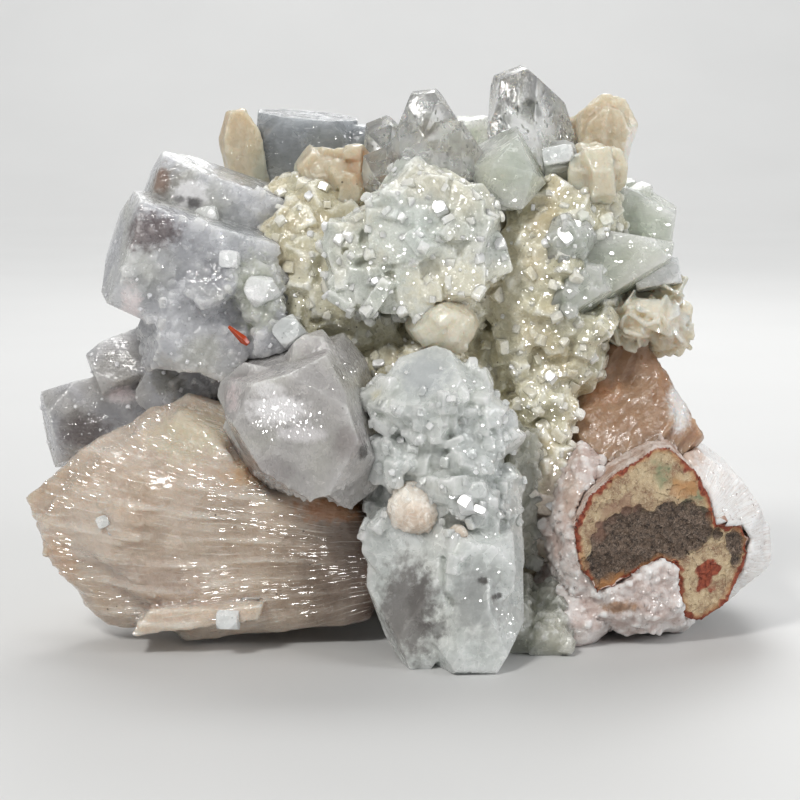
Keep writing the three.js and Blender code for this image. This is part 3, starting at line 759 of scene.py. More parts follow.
def intergrown(node, piece, crystals, material, cell, smooth=0):
    """The body of a solid and the small crystals on it, grown into one with soft seams."""
    bpy.ops.object.select_all(action="DESELECT")
    crystals.select_set(True)
    piece.select_set(True)
    bpy.context.view_layer.objects.active = piece
    bpy.ops.object.join()
    remeshed(piece, cell, smooth)
    piece.data.materials.clear()
    piece.data.materials.append(material)
    keep_hollows(piece)
    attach(piece, "root")
    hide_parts(node)
    return piece


druse_stone = crystal_finish(
    "druse",
    tone(200, 196, 170),
    tone(230, 226, 207),
    tone(208, 192, 156),
    0.0,
    patches=90.0,
    stained=0.7,
    grains=0.7,
    cells=700.0,
    turn=0.3,
    seams=0.1,
    deep=0.0013,
    sparkle=0.34,
    bump=0.4,
    crevice_shade=tone(176, 164, 130),
    marks=[(tone(234, 216, 206), 0.6, (28.0, -17, 20.0), (7.0, 12, 16.0))],
)

# The bed is made in two halves, the front one finer, that meet inside the cluster.
finished = {}
for side, cell in (("front", 0.0005), ("rear", 0.0007)):
    bed = copy_of("druse_bed_" + side, "druse_bed")
    cut_by(bed, (0, 0, 0), (0, 1 if side == "front" else -1, 0))
    ground = ground_of(
        "druse_crystals", bed, lambda at, out: out.z > -0.8 and at.z > 0.006 and abs(at.y) > 0.0005
    )
    grow(ground, druse_stone, 0.0027, 0.0030, 0.0068, 0.5, 3, flat=0.62, power=1.2)
    finished["druse_bed_" + side] = intergrown("druse_bed", bed, ground, druse_stone, cell)

# ---------------------------------------------------------------- apophyllite: overgrown crystals
# Large crystals half covered by small ones that grew on them: the column, the mass in the
# middle, the block on the fan, the left shoulder and its foot, and the right shoulder.

sugary_stone = crystal_finish(
    "sugary_apophyllite",
    tone(196, 200, 192),
    tone(226, 228, 222),
    tone(214, 208, 184),
    0.0,
    stained=0.55,
    cells=700.0,
    turn=0.26,
    patches=160.0,
    seams=0.12,
    deep=0.0016,
    sparkle=0.34,
    bump=0.35,
    crevice_shade=tone(176, 170, 140),
    marks=[
        (tone(240, 234, 212), 0.6, (8, -24, 66), (10, 12, 7)),
        (tone(226, 232, 228), 0.6, (0, -24, 76), (9, 12, 8))
    ],
)
column_stone = crystal_finish(
    "column_apophyllite",
    tone(205, 209, 206),
    tone(234, 237, 235),
    tone(226, 224, 202),
    0.12,
    stained=0.15,
    turn=0.15,
    patches=160.0,
    seams=0.2,
    deep=0.0035,
    sparkle=0.17,
    crevice_shade=tone(164, 164, 152),
    marks=[
        (tone(120, 114, 111), 0.8, (0.6, -38, 11.0), (7.5, 10, 12.0)),
        (tone(96, 90, 86), 0.5, (2.6, -38, 11.6), (2.6, 8, 6.0)),
        (tone(168, 169, 168), 0.6, (12.6, -38, 12.0), (6.0, 8, 9.0)),
        (tone(92, 86, 84), 0.5, (5.6, -38, 7.6), (3.4, 8, 2.0)),
        (tone(200, 204, 206), 0.7, (3.7, -32, 51.2), (6.5, 8, 4.6)),
        (tone(60, 52, 46), 0.8, (13.7, -39, 16.4), (1.3, 4, 1.0)),
        (tone(50, 44, 40), 0.8, (16.2, -38, 13.4), (1.6, 4, 0.8)),
        (tone(238, 232, 206), 0.6, (-4.0, -28, 47.0), (2.6, 6, 3.0)),
    ],
)
block_stone = crystal_finish(
    "block_apophyllite",
    tone(178, 175, 173),
    tone(198, 195, 193),
    tone(184, 184, 168),
    0.12,
    stained=0.3,
    turn=0.16,
    sparkle=0.1,
    frosted=((-20.0, -39, 45.0), (8.5, 8, 6.0)),
    lines=(2600, 1000, 1200),
    bump=0.4,
    crevice_shade=tone(160, 158, 146),
    marks=[
        (tone(252, 250, 251), 0.8, (-21.4, -39, 46.0), (7.0, 8, 3.6)),
        (tone(248, 245, 247), 0.6, (-17.4, -39, 42.0), (5.6, 8, 2.2)),
        (tone(244, 242, 243), 0.5, (-22.6, -39, 49.6), (3.6, 8, 1.8)),
        (tone(140, 131, 130), 0.55, (-9.4, -39, 40.2), (4.4, 8, 4.0)),
        (tone(150, 143, 142), 0.5, (-22.6, -38, 35.4), (5.6, 8, 3.6)),
        (tone(44, 38, 36), 0.8, (-7.0, -37, 38.4), (1.3, 5, 2.0)),
        (tone(236, 222, 222), 0.7, (-29.0, -30, 46.5), (2.6, 8, 5.0)),
    ],
)
left_stone = crystal_finish(
    "left_apophyllite",
    tone(178, 179, 183),
    tone(212, 213, 216),
    tone(208, 208, 192),
    0.1,
    stained=0.4,
    turn=0.25,
    lines=(220, 1500, 1500),
    bump=0.4,
    crevice_shade=tone(150, 148, 146),
    marks=[
        (tone(86, 66, 66), 0.75, (-45.6, -22, 75.6), (8.0, 9, 4.6)),
        (tone(150, 147, 140), 0.65, (-43.0, -12, 83.0), (7.0, 8, 5.0)),
        (tone(158, 162, 162), 0.6, (-30.0, -14, 75.5), (8.0, 8, 5.0)),
        (tone(126, 96, 78), 0.7, (-44.0, -12, 84.0), (2.6, 6, 3.4)),
        (tone(248, 247, 248), 0.85, (-38.4, -12, 81.4), (4.6, 6, 3.4)),
        (tone(58, 52, 52), 0.75, (-38.0, -12, 80.0), (2.0, 6, 1.5)),
        (tone(70, 64, 64), 0.6, (-40.6, -12, 80.6), (1.6, 6, 0.9)),
        (tone(244, 232, 232), 0.8, (-48.6, -18, 62.0), (2.6, 9, 6.0)),
        (tone(206, 210, 192), 0.7, (-26.0, -18, 64.0), (6.0, 12, 9.0)),
    ],
)
lower_left_stone = crystal_finish(
    "lower_left_apophyllite",
    tone(158, 158, 161),
    tone(196, 196, 200),
    tone(176, 170, 156),
    0.15,
    stained=0.4,
    turn=0.25,
    lines=(220, 1500, 1500),
    bump=0.35,
    crevice_shade=tone(130, 124, 118),
    marks=[
        (tone(92, 80, 80), 0.7, (-59.0, -8, 37.5), (6.0, 8, 4.5)),
        (tone(240, 232, 232), 0.7, (-52.0, -6, 44.0), (4.0, 8, 2.0)),
        (tone(150, 148, 136), 0.6, (-43.0, -8, 47.0), (5.0, 8, 4.0)),
    ],
)

pillar_stone = crystal_finish(
    "pillar_apophyllite", tone(160, 162, 152), tone(206, 207, 196), tone(196, 186, 158), 0.15,
    turn=0.25, lines=(1500, 1500, 200), bump=0.5
)

# Where small crystals lie parallel, they all point away from this spot far below.
BELOW = (0.0, -0.02, -0.4)
# Each row: the solid, its finish and slot, the cell of its mesh, the spacing and sizes of
# the small crystals, their height and tilt, whether they lie parallel, and where they grow.
OVERGROWN = [
    (
        "column", column_stone, "clear", 0.00034, 0.0023, 0.0020, 0.0044, 0.42, 0.32, BELOW, 5,
        lambda at, out: 0.024 + 0.008 * noise.noise(at / 0.006) < at.z < 0.049 and out.y < 0.3
    ),
    (
        "centre", sugary_stone, "clear", 0.00034, 0.0028, 0.0028, 0.0072, 0.42, 0.32, BELOW, 8,
        lambda at, out: out.y < 0.3
    ),
    (
        "block", block_stone, "lavender", 0.0003, 0.0013, 0.0005, 0.0013, 0.6, 0.6, None, 9,
        lambda at, out: -0.9 < out.y < 0.2 and at.z < 0.034
    ),
    (
        "left_shoulder", left_stone, "lavender", 0.00034, 0.0016, 0.0009, 0.0022, 0.6, 0.3, None, 11,
        lambda at, out: out.y < -0.3 and at.z < 0.0735 and at.x > -0.0465
    ),
    (
        "lower_left", lower_left_stone, "lavender", 0.00036, 0.0024, 0.0012, 0.0028, 0.7, 0.4, None, 13,
        lambda at, out: out.y < -0.3 and at.x > -0.045
    ),
    (
        "right_shoulder", green_stone, "green", 0.00036, 0.0026, 0.0018, 0.0044, 0.6, 0.4, None, 15,
        lambda at, out: out.y < 0.2 and (at.x < 0.036 or at.z < 0.062)
    ),
    (
        "pillar", pillar_stone, "green", 0.0003, 0.0016, 0.001, 0.0026, 0.8, 0.5, None, 17,
        lambda at, out: at.z < 0.03
    ),
    (
        "foot", pillar_stone, "green", 0.0003, 0.0017, 0.001, 0.003, 0.9, 0.6, None, 19,
        lambda at, out: at.z > 0.004
    ),
]
# Faces that the growth cut flat: where each is in millimetres, and the way it faces.
CUT_FACES = {
    "block": [
        ((-10, -36, 50.2), (0.75, -0.22, 0.62)),
        ((-27.9, -36, 40.2), (-0.82, -0.3, -0.5)),
        ((-21.9, -36, 33.2), (-0.5, -0.3, -0.8)),
    ],
    "right_shoulder": [((46.4, -3, 79.8), (0.46, -0.2, 0.86)), ((47.0, -6, 66.8), (0.5, -0.3, -0.8))],
}
for node, stone, slot, cell, gap, small, large, flat, tilt, along, seed, keep in OVERGROWN:
    piece = copy_of(node + "_intergrown", "apophyllite_" + node)
    for spot, facing in CUT_FACES.get(node, []):
        cut_by(piece, Vector(spot) / 1000, facing)
    ground = ground_of(node + "_crystals", piece, keep)
    grow(
        ground, stone, gap, small, large, tilt, seed, flat=flat, along=along,
        power=1.4
    )
    finished[node] = intergrown(
        "apophyllite_" + node, piece, ground, stone, cell
    )

# White frost: tiny crystals scattered over the faces of the left shoulder and its foot.
frost_stone = crystal_finish(
    "frost", tone(222, 222, 227), tone(240, 240, 244), tone(232, 228, 224), 0.0, grains=0.0, turn=0.5,
    deep=0.0007
)
for node, source, keep in (
    ("left_shoulder", finished["left_shoulder"], lambda at, out: out.y < -0.2 and at.z < 0.074),
    ("lower_left", finished["lower_left"], lambda at, out: out.y < -0.2),
):
    ground = ground_of(node + "_frost", source, keep)
    grow(ground, frost_stone, 0.0028, 0.0002, 0.0008, 0.6, 23, flash=0.4)

# Small sharp crystals that stand out of the druse, the mass in the middle and the column.
druse_facets = crystal_finish(
    "druse_crystals",
    tone(216, 211, 190),
    tone(244, 240, 226),
    tone(216, 202, 170),
    0.0,
    patches=130.0,
    stained=0.7,
    grains=0.4,
    cells=900.0,
    turn=0.1,
    bump=0.2,
    marks=[
        (tone(228, 210, 198), 0.6, (28.0, -17, 20.0), (7.0, 12, 16.0)),
        (tone(228, 233, 222), 0.6, (34, -16, 76), (9, 12, 9))
    ],
    deep=0.0015,
)
centre_facets = crystal_finish(
    "centre_crystals",
    tone(230, 232, 224),
    tone(252, 253, 248),
    tone(240, 232, 206),
    0.0,
    patches=130.0,
    stained=0.5,
    grains=0.4,
    cells=900.0,
    turn=0.1,
    bump=0.2,
    marks=[
        (tone(240, 234, 212), 0.6, (8, -24, 66), (10, 12, 7)),
        (tone(228, 234, 231), 0.6, (0, -24, 76), (9, 12, 8))
    ],
    deep=0.0015,
)
column_facets = column_stone.copy()
column_facets.node_tree.nodes["Principled BSDF"].inputs["Subsurface Scale"].default_value = 0.0015
for node, stone, slot, gap, small, large, flat, tilt, along, seed, keep in (
    (
        "druse_bed_front", druse_facets, "druse", 0.0031, 0.0008, 0.0026, 0.6, 0.8, None, 41,
        lambda at, out: out.y < 0.3 and out.z > -0.6 and at.z > 0.01
    ),
    (
        "centre", centre_facets, "clear_apophyllite", 0.0031, 0.0007, 0.0024, 0.5, 0.7, None, 43,
        lambda at, out: out.y < 0.2
    ),
    (
        "column", column_facets, "clear_apophyllite", 0.0030, 0.0007, 0.0020, 0.6, 0.6, BELOW, 45,
        lambda at, out: out.y < 0.2 and 0.024 < at.z < 0.049
    ),
):
    ground = ground_of(node + "_sharp", finished[node], keep)
    grow(ground, stone, gap, small, large, tilt, seed, flat=flat, along=along, power=1.3)

# Clear crystals with a face that flashes.
glass_stone = crystal_finish(
    "glassy_apophyllite", tone(244, 246, 240), tone(255, 255, 252), tone(246, 242, 224), 0.1,
    grains=0.0, cells=900.0, turn=0.16, bump=0.1, deep=0.0007
)
for node, gap, small, large, share, seed, keep in (
    (
        "druse_bed_front", 0.0068, 0.0007, 0.002, 0.85, 31,
        lambda at, out: out.y < -0.1 and out.z > -0.6 and at.z > 0.01
    ),
    ("centre", 0.0064, 0.0007, 0.002, 0.85, 33, lambda at, out: out.y < -0.1),
    ("column", 0.006, 0.0006, 0.0016, 0.8, 35, lambda at, out: out.y < -0.1 and at.z > 0.024),
    ("right_shoulder", 0.005, 0.0006, 0.0016, 0.8, 37, lambda at, out: out.y < -0.1 and at.x < 0.038),
):
    ground = ground_of(node + "_glass", finished[node], keep)
    grow(ground, glass_stone, gap, small, large, 0.16, seed, flash=share)

# The largest flashing faces: square crystals, the middle and the width in millimetres each,
# turned so that the lamp shines off their ends to a place in front of the display side.
SHOWN_TO = Vector((0, -0.415, 0.1))
mirror_stone, tree, shader, place = finish_named("flashing_apophyllite")
cloudy = noise_of(tree, place, 500.0, 3.0)
tree.links.new(
    mix_of(tree, cloudy, tone(236, 238, 238), tone(255, 255, 255)), shader.inputs["Base Color"]
)
tree.links.new(ramp_of(tree, cloudy, 0.45, 0.62, 0.04, 0.4), shader.inputs["Roughness"])
relief = put(tree, "ShaderNodeBump", {"Strength": 0.12, "Distance": FINE_RELIEF, "Height": cloudy})
tree.links.new(relief.outputs[0], shader.inputs["Normal"])
shader.inputs["IOR"].default_value = 1.6
shader.inputs["Transmission Weight"].default_value = 0.2
FLASHES = [
    ((6.4, -24.8, 79.7), 2.2), ((-4.9, -24.2, 66.8), 1.8), ((28.9, -18.2, 74.2), 2.8),
    ((31.0, -17.2, 76.2), 1.4), ((26.6, -15.2, 48.6), 1.8), ((10.7, -38.4, 29.5), 3.2),
    ((13.2, -38.4, 28.4), 1.8), ((8.6, -38.0, 31.0), 1.4),
]
# Crystals that perch on larger ones: the middle in millimetres, the width and the turn.
PERCHED = [
    ((-35.5, -12.6, 77.4), 3.4, 0.3), ((-31.0, -19.8, 70.2), 3.2, 0.0),
    ((-25.3, -18.4, 64.7), 6.4, 0.5), ((46.8, -6.0, 66.4), 7.0, 0.2),
    ((-31.2, -29.4, 7.0), 3.4, 0.0), ((-53.1, -28.0, 24.4), 2.2, 0.4),
    ((-51.6, -28.2, 22.6), 1.6, 0.9), ((28.1, -9.4, 88.2), 4.6, 0.2),
    ((-20.5, -20.0, 57.5), 4.4, 0.7),
]
PERCHED_LOOK = Vector((-0.15, -1, 0.25))
perched_stone = crystal_finish(
    "perched_apophyllite", tone(222, 225, 224), tone(244, 246, 245), tone(232, 228, 214), 0.1,
    cells=900.0, turn=0.16, bump=0.15, deep=0.0014
)


def set_crystal(name, kind, material, middle, wide, turned):
    """One small crystal, its root in what it grew on."""
    piece = bpy.data.objects.new(name, seeds.objects[kind].data.copy())
    piece.data.transform(Matrix.Translation(middle) @ turned.to_4x4() @ Matrix.Scale(wide, 4))
    piece.data.materials.append(material)
    bpy.context.scene.collection.objects.link(piece)
    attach(piece, "root")


kinds = ["seed_cube", "seed_point", "seed_plate", "seed_block"]
for number, (middle, wide) in enumerate(FLASHES):
    middle = Vector(middle) / 1000
    half = (KEY_LAMP - middle).normalized() + (SHOWN_TO - middle).normalized()
    turned = half.to_track_quat("Z", "Y").to_matrix() @ Matrix.Rotation(0.5 + 0.9 * number, 3, "Z")
    set_crystal(
        f"flashing_face_{number + 1}", kinds[number % 4], mirror_stone, middle, wide / 1000, turned
    )
for number, (middle, wide, roll) in enumerate(PERCHED):
    turned = PERCHED_LOOK.to_track_quat("Z", "Y").to_matrix() @ Matrix.Rotation(roll, 3, "Z")
    set_crystal(
        f"perched_crystal_{number + 1}", kinds[(number + 3) % 4], perched_stone, Vector(middle) / 1000,
        wide / 1000, turned
    )

# A ball of peach crystals on the front of the column.
ball_stone = crystal_finish(
    "peach_apophyllite", tone(220, 202, 184), tone(240, 230, 218), tone(214, 190, 166), 0.0, grains=0.2,
    cells=700.0, turn=0.4, seams=0.3, crevice_shade=tone(186, 164, 142), deep=0.003
)
for number, (middle, size) in enumerate((((2.0, -33.0, 27.8), 4.7), ((9.4, -36.6, 23.8), 1.8))):
    bpy.ops.object.select_all(action="DESELECT")
    bpy.ops.mesh.primitive_ico_sphere_add(subdivisions=3, radius=size / 1000, location=(0, 0, 0))
    ball = bpy.context.object
    ball.name = f"peach_ball_{number + 1}"
    ball.data.transform(Matrix.Translation(Vector(middle) / 1000))
    ground = ground_of("ball_crystals", ball, lambda at, out: True)
    grow(
        ground, ball_stone, size / 4000, size / 5000, size / 2200, 0.5,
        51 + number, flat=0.35
    )
    bpy.ops.object.select_all(action="DESELECT")
    ground.select_set(True)
    ball.select_set(True)
    bpy.context.view_layer.objects.active = ball
    bpy.ops.object.join()
    remeshed(ball, 0.00024, 2)
    ball.data.materials.clear()
    ball.data.materials.append(ball_stone)
    keep_hollows(ball)
    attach(ball, "root")

# ---------------------------------------------------------------- stilbite fan
# Half of a bow tie of stilbite: thin pearly blades that leave a waist under the column and
# spread to the left, their edges stepped into long ridges that catch the light.

STILBITE_SPARKLE = 0.07
STILBITE_ROUGH = 0.32


def stilbite_finish(name, pale, deep, waist=None, eye=None, marks=()):
    """Pearly stilbite in patches, browner and darker towards a waist with its own brown and painted
    shadow, with fine ledges out from an eye that carry a painted highlight.
    """
    material, tree, shader, place = finish_named(name)
    clouds = noise_of(tree, place, 70.0, 4.0, 0.6)
    body = mix_of(tree, ramp_of(tree, clouds, 0.35, 0.68), pale, deep)
    fine = noise_of(tree, place, 1500.0, 3.0)
    # Browner and darker towards the waist: its own brown and a painted shadow.
    if waist:
        across = put(tree, "ShaderNodeSeparateXYZ", {0: place}).outputs[0]
        across = math_of(tree, "MULTIPLY_ADD", clouds, 0.02, across)
        body = mix_of(tree, ramp_of(tree, across, -0.015, 0.008), body, waist)
    flash = put(tree, "ShaderNodeGroup", node_tree=facets)
    flash.inputs["Per Metre"].default_value = 700.0
    flash.inputs["Turn"].default_value = 0.35
    tree.links.new(place, flash.inputs["Place"])
    # Ledges lighter and glossier: the narrow upper faces kept as flash and thin lines along the lips, a
    # painted highlight in the colour.
    ledge_highlight_and_gloss = attribute_of(tree, "flash")
    height = fine
    share = STILBITE_SPARKLE
    tiled = vector_of(tree, "MULTIPLY", place, (2000, 2000, 900))
    if eye:
        spot = vector_of(tree, "SUBTRACT", place, eye)
        spot = put(tree, "ShaderNodeSeparateXYZ", {0: spot}).outputs
        turn = math_of(tree, "ARCTAN2", spot[2], math_of(tree, "MULTIPLY", spot[0], -1.0))
        wander = noise_of(tree, place, 45.0, 2.0)
        for per_turn, wide, rise in ((24.0, 0.15, 1.0), (47.0, 0.18, 0.35)):
            sway = math_of(tree, "MULTIPLY", wander, per_turn * 0.09)
            steps = math_of(tree, "MULTIPLY_ADD", turn, per_turn, sway)
            ledge = math_of(tree, "FRACT", steps)
            along = put(
                tree, "ShaderNodeCombineXYZ",
                {0: math_of(tree, "MULTIPLY", spot[0], 130.0), 1: steps, 2: 0.0}
            ).outputs[0]
            streak = noise_of(tree, along, 1.0, 2.0)
            lit = math_of(
                tree, "MULTIPLY", ramp_of(tree, ledge, wide, 0.01),
                ramp_of(tree, streak, 0.5, 0.58, 0.0, 0.9)
            )
            ledge_highlight_and_gloss = math_of(tree, "MAXIMUM", ledge_highlight_and_gloss, lit)
            height = math_of(
                tree, "MULTIPLY_ADD", math_of(tree, "MULTIPLY", ledge, ramp_of(tree, streak, 0.3, 0.6)),
                rise, height
            )
        flecks = attribute_of(tree, "flecks")
        share = math_of(tree, "MULTIPLY_ADD", ledge_highlight_and_gloss, 0.5, 0.24)
        share = math_of(tree, "MULTIPLY_ADD", flecks, 0.9, share)
        tiled = {
            0: math_of(tree, "MULTIPLY", spot[0], 560.0),
            1: math_of(tree, "MULTIPLY", turn, 380.0),
            2: math_of(tree, "MULTIPLY", spot[1], 640.0),
        }
        tiled = put(tree, "ShaderNodeCombineXYZ", tiled).outputs[0]
    # Painted highlight: lighter along the lips and upper faces of the ledges.
    body = mix_of(tree, math_of(tree, "MULTIPLY", ledge_highlight_and_gloss, 0.7), body, tone(250, 242, 232))
    specks = put(tree, "ShaderNodeTexVoronoi", {"Vector": place, "Scale": 300.0})
    specks = math_of(
        tree, "MULTIPLY", ramp_of(tree, specks.outputs["Distance"], 0.07, 0.05),
        ramp_of(tree, clouds, 0.52, 0.56)
    )
    body = mix_of(tree, math_of(tree, "MULTIPLY", specks, 0.7), body, tone(64, 50, 42))
    # Painted shade: a little darker and browner in hollows.
    hollow = attribute_of(tree, "hollow")
    body = mix_of(tree, ramp_of(tree, hollow, 0.2, 1.8, 0.0, 0.15), body, tone(186, 154, 130))
    value = math_of(tree, "MULTIPLY_ADD", flash.outputs["Cell"], 0.12, 0.93)
    hue = put(tree, "ShaderNodeHueSaturation", {"Value": value, "Color": body})
    tree.links.new(marked(tree, place, hue.outputs[0], marks), shader.inputs["Base Color"])
    relief = put(
        tree, "ShaderNodeBump",
        {"Strength": 0.5, "Distance": FINE_RELIEF, "Height": height, "Normal": flash.outputs["Normal"]}
    )
    roughness = ramp_of(tree, ledge_highlight_and_gloss, 0.0, 0.8, STILBITE_ROUGH, 0.12)
    glinting(tree, shader, tiled, relief.outputs[0], roughness, share)
    shader.inputs["IOR"].default_value = 1.5
    shader.inputs["Transmission Weight"].default_value = 0.08
    shader.inputs["Subsurface Weight"].default_value = 0.8
    shader.inputs["Subsurface Radius"].default_value = (1.0, 0.75, 0.6)
    shader.inputs["Subsurface Scale"].default_value = 0.006
    shader.inputs["Coat Weight"].default_value = 0.7 if eye else 0.25
    shader.inputs["Coat Roughness"].default_value = 0.12
    return material


FAN_EYE = (0.033, -0.016, 0.0165)
peach_stone = stilbite_finish(
    "stilbite",
    tone(219, 203, 187),
    tone(202, 182, 162),
    waist=tone(78, 48, 28),
    eye=FAN_EYE,
    marks=[
        (tone(226, 216, 192), 0.8, (-38, -22, 39), (10, 14, 6)),
        (tone(216, 178, 138), 0.8, (-27, -24, 33), (8, 12, 3)),
        # Orange-brown at the waist: its own brown and a painted shadow.
        (tone(178, 128, 88), 0.85, (-13, -26, 26.5), (8, 12, 3.4)),
        # Darker and greyer low on the fan: a greyer tone and painted shade.
        (tone(196, 176, 162), 0.6, (-44, -22, 13), (14, 12, 8)),
        (tone(206, 164, 126), 0.5, (-62, -16, 16), (5, 12, 7)),
    ],
)
cream_stone = stilbite_finish(
    "cream_stilbite",
    tone(220, 214, 194),
    tone(206, 192, 166),
    marks=[
        (tone(248, 246, 242), 0.8, (42.8, -1, 89.6), (3.0, 8, 6.5)),
        (tone(246, 240, 230), 0.7, (50.0, -11, 58.4), (3.4, 8, 6.0)),
        (tone(216, 180, 146), 0.7, (-7.4, -9, 86.4), (3.6, 8, 4.4)),
        (tone(238, 232, 214), 0.8, (7.3, -26, 58.3), (9, 8, 6)),
        (tone(246, 234, 214), 0.8, (43, -14, 60), (8, 8, 7)),
    ],
)
brown_stone = stilbite_finish(
    "brown_stilbite",
    tone(182, 152, 128),
    tone(160, 124, 96),
    marks=[
        (tone(236, 236, 236), 0.85, (50.6, -10, 42.4), (3.0, 10, 6.5)),
        (tone(190, 136, 98), 0.6, (36, -9, 46), (5, 9, 5))
    ],
)


def places_of(piece):
    spots = np.empty(len(piece.data.vertices) * 3, np.float32)
    piece.data.vertices.foreach_get("co", spots)
    return spots.reshape(-1, 3)


def raise_by(piece, heights):
    """Moves the skin of a piece outwards by a height in metres for each of its corners."""
    low, high = float(heights.min()), float(heights.max())
    spread = piece.vertex_groups.new(name="height")
    for i, share in enumerate((heights - low) / (high - low)):
        spread.add([i], float(share), "REPLACE")
    push = piece.modifiers.new("relief", "DISPLACE")
    push.vertex_group = "height"
    push.strength = high - low
    push.mid_level = 0.0
    apply_all(piece)
    piece.vertex_groups.clear()
    if abs(low) > 1e-6:
        push = piece.modifiers.new("relief", "DISPLACE")
        push.strength = low
        push.mid_level = 0.0
        apply_all(piece)


def clouds_at(spots, size, seed=0.0):
    """Smooth uneven values from about -1 to 1, in patches of a size in metres."""
    return np.array([noise.noise(Vector(s) / size + Vector((seed, 0, 0))) for s in spots.tolist()])


def keep_attribute(piece, name, values):
    piece.data.attributes.new(name, "FLOAT", "POINT").data.foreach_set(
        "value", values.astype(np.float32)
    )


blades = bpy.data.collections.new("stilbite_blades")


def thin_blade(name, wide, thick, step):
    """A thin blade one unit long that lies along X, its outer end cut in two steps."""
    bpy.ops.object.select_all(action="DESELECT")
    bpy.ops.mesh.primitive_cube_add(size=1, location=(0, 0, 0))
    piece = bpy.context.object
    piece.name = name
    bpy.ops.object.mode_set(mode="EDIT")
    bpy.ops.transform.resize(value=(1, wide, thick))
    for spot, facing in (
        ((0.5, 0, 0), (1, 1.6, 0)), ((0.5, -wide * step, 0), (1, -0.8, 0)),
        ((0, 0, thick / 2), (-0.02, 0.3, 1))
    ):
        bpy.ops.mesh.select_all(action="SELECT")
        bpy.ops.mesh.bisect(plane_co=spot, plane_no=facing, use_fill=True, clear_outer=True)
    bpy.ops.object.mode_set(mode="OBJECT")
    for home in list(piece.users_collection):
        home.objects.unlink(piece)
    blades.objects.link(piece)


thin_blade("long_blade", 0.13, 0.055, 0.3)
thin_blade("narrow_blade", 0.07, 0.065, 0.2)
thin_blade("broad_blade", 0.2, 0.05, 0.4)

body = copy_of("stilbite_fan_body", "stilbite_fan")
# The top of the fan is one smooth dome: its middles and half sizes in millimetres.
DOMES = [
    ((-40, -14, 32.4), (13, 9, 11.2)), ((-50, -14, 28.4), (12, 8.5, 10.6)),
    ((-29, -14, 31.0), (12, 8, 10.4)), ((-55, -14, 20.0), (11.4, 8, 12)),
    ((-50, -14, 13.5), (11.2, 8, 12)),
]
TOP_EDGE = [(-46.1, 42.8), (-53.5, 38.7), (-63.1, 31.9), (-69.6, 26.3)]
for near, far in zip(TOP_EDGE, TOP_EDGE[1:]):
    cut_by(body, Vector((near[0], -14, near[1] + 0.6)) / 1000, (far[1] - near[1], 0, near[0] - far[0]))
for middle, size in DOMES:
    bpy.ops.mesh.primitive_ico_sphere_add(subdivisions=4, radius=0.001)
    dome = bpy.context.object
    dome.data.transform(Matrix.Translation(Vector(middle) / 1000) @ Matrix.Diagonal((*size, 1)))
    dome.select_set(True)
    body.select_set(True)
    bpy.context.view_layer.objects.active = body
    bpy.ops.object.join()
remeshed(body, 0.0011, 30)

# The lowest blade lies flat along the foot of the fan and stands out to the front.
bpy.ops.object.select_all(action="DESELECT")
bpy.ops.mesh.primitive_cube_add(size=1)
plank = bpy.context.object
PLANK = [(-0.0482, 0.0040), (-0.0453, 0.0083), (-0.0251, 0.0092), (-0.0257, 0.0068)]
for corner in plank.data.vertices:
    low, right = corner.co.z < 0, corner.co.x > 0
    x, z = PLANK[3 if right and low else 2 if right else 0 if low else 1]
    corner.co = (x, -0.0285 if corner.co.y < 0 else -0.016, z)

# The blades of the left edge run out to a sharp tip.
bpy.ops.object.select_all(action="DESELECT")
bpy.ops.mesh.primitive_cone_add(vertices=9, radius1=0.0125, depth=0.010)
tip = bpy.context.object
lain = Matrix.Rotation(math.radians(-78), 4, "Y")
tip.data.transform(
    Matrix.Translation((-0.0643, -0.0145, 0.0252)) @ lain @ Matrix.Diagonal((1, 0.5, 1, 1))
)

ledges = ground_of(
    "fan_ledges", body,
    lambda at, out: 0.008 < at.z < 0.031 and (out.x < -0.4 or (out.y < -0.3 and at.x < -0.045))
)
grow(
    ledges, peach_stone, 0.0022, 0.0025, 0.007, 0.08, 12, along=FAN_EYE, kinds=blades,
    power=1.3
)
bpy.ops.object.select_all(action="DESELECT")
for part in (plank, tip, ledges, body):
    part.select_set(True)
bpy.context.view_layer.objects.active = body
bpy.ops.object.join()
remeshed(body, 0.00038)


def stepped(spots, eye, period, worn, seed):
    """Long ledges that run out from an eye: 1 at a ledge's lip, and its narrow upper face."""
    angle = np.degrees(np.arctan2(spots[:, 2] - eye[2], eye[0] - spots[:, 0]))
    phase = (angle + worn * clouds_at(spots, 0.02, seed)) / period % 1.0
    upper = np.clip(1 - phase / 0.22, 0, 1)
    return np.where(phase < 0.22, upper, (phase - 0.22) / 0.78), (phase < 0.22) * 1.0


spots = places_of(body)
below_top = np.clip((0.0445 - spots[:, 2]) / 0.006, 0.12, 1)
ridged = below_top * np.clip((-0.008 - spots[:, 0]) / 0.02, 0.1, 1)
lip, shelf = stepped(spots, FAN_EYE, 3.9, 1.8, 3.0)
fine_lip, fine_shelf = stepped(spots, FAN_EYE, 0.9, 2.2, 8.0)
streaks = np.array(
    [noise.noise(Vector((s[0] / 0.009, s[1] / 0.009, s[2] / 0.0018))) for s in spots.tolist()]
)
ridged *= np.clip(0.6 + 1.2 * streaks, 0.1, 1.1)
steps = ridged * (0.00055 * lip + 0.00006 * fine_lip)
raise_by(body, steps + 0.00016 * clouds_at(spots, 0.0025) + 0.0003 * clouds_at(spots, 0.008, 4.0))
# The narrow upper faces of the ledges, turned up towards the lamp, are kept so that the finish paints
# them lighter, a painted highlight.
keep_attribute(body, "flash", np.clip(0.45 * ridged * (shelf + 0.4 * fine_shelf), 0, 1))

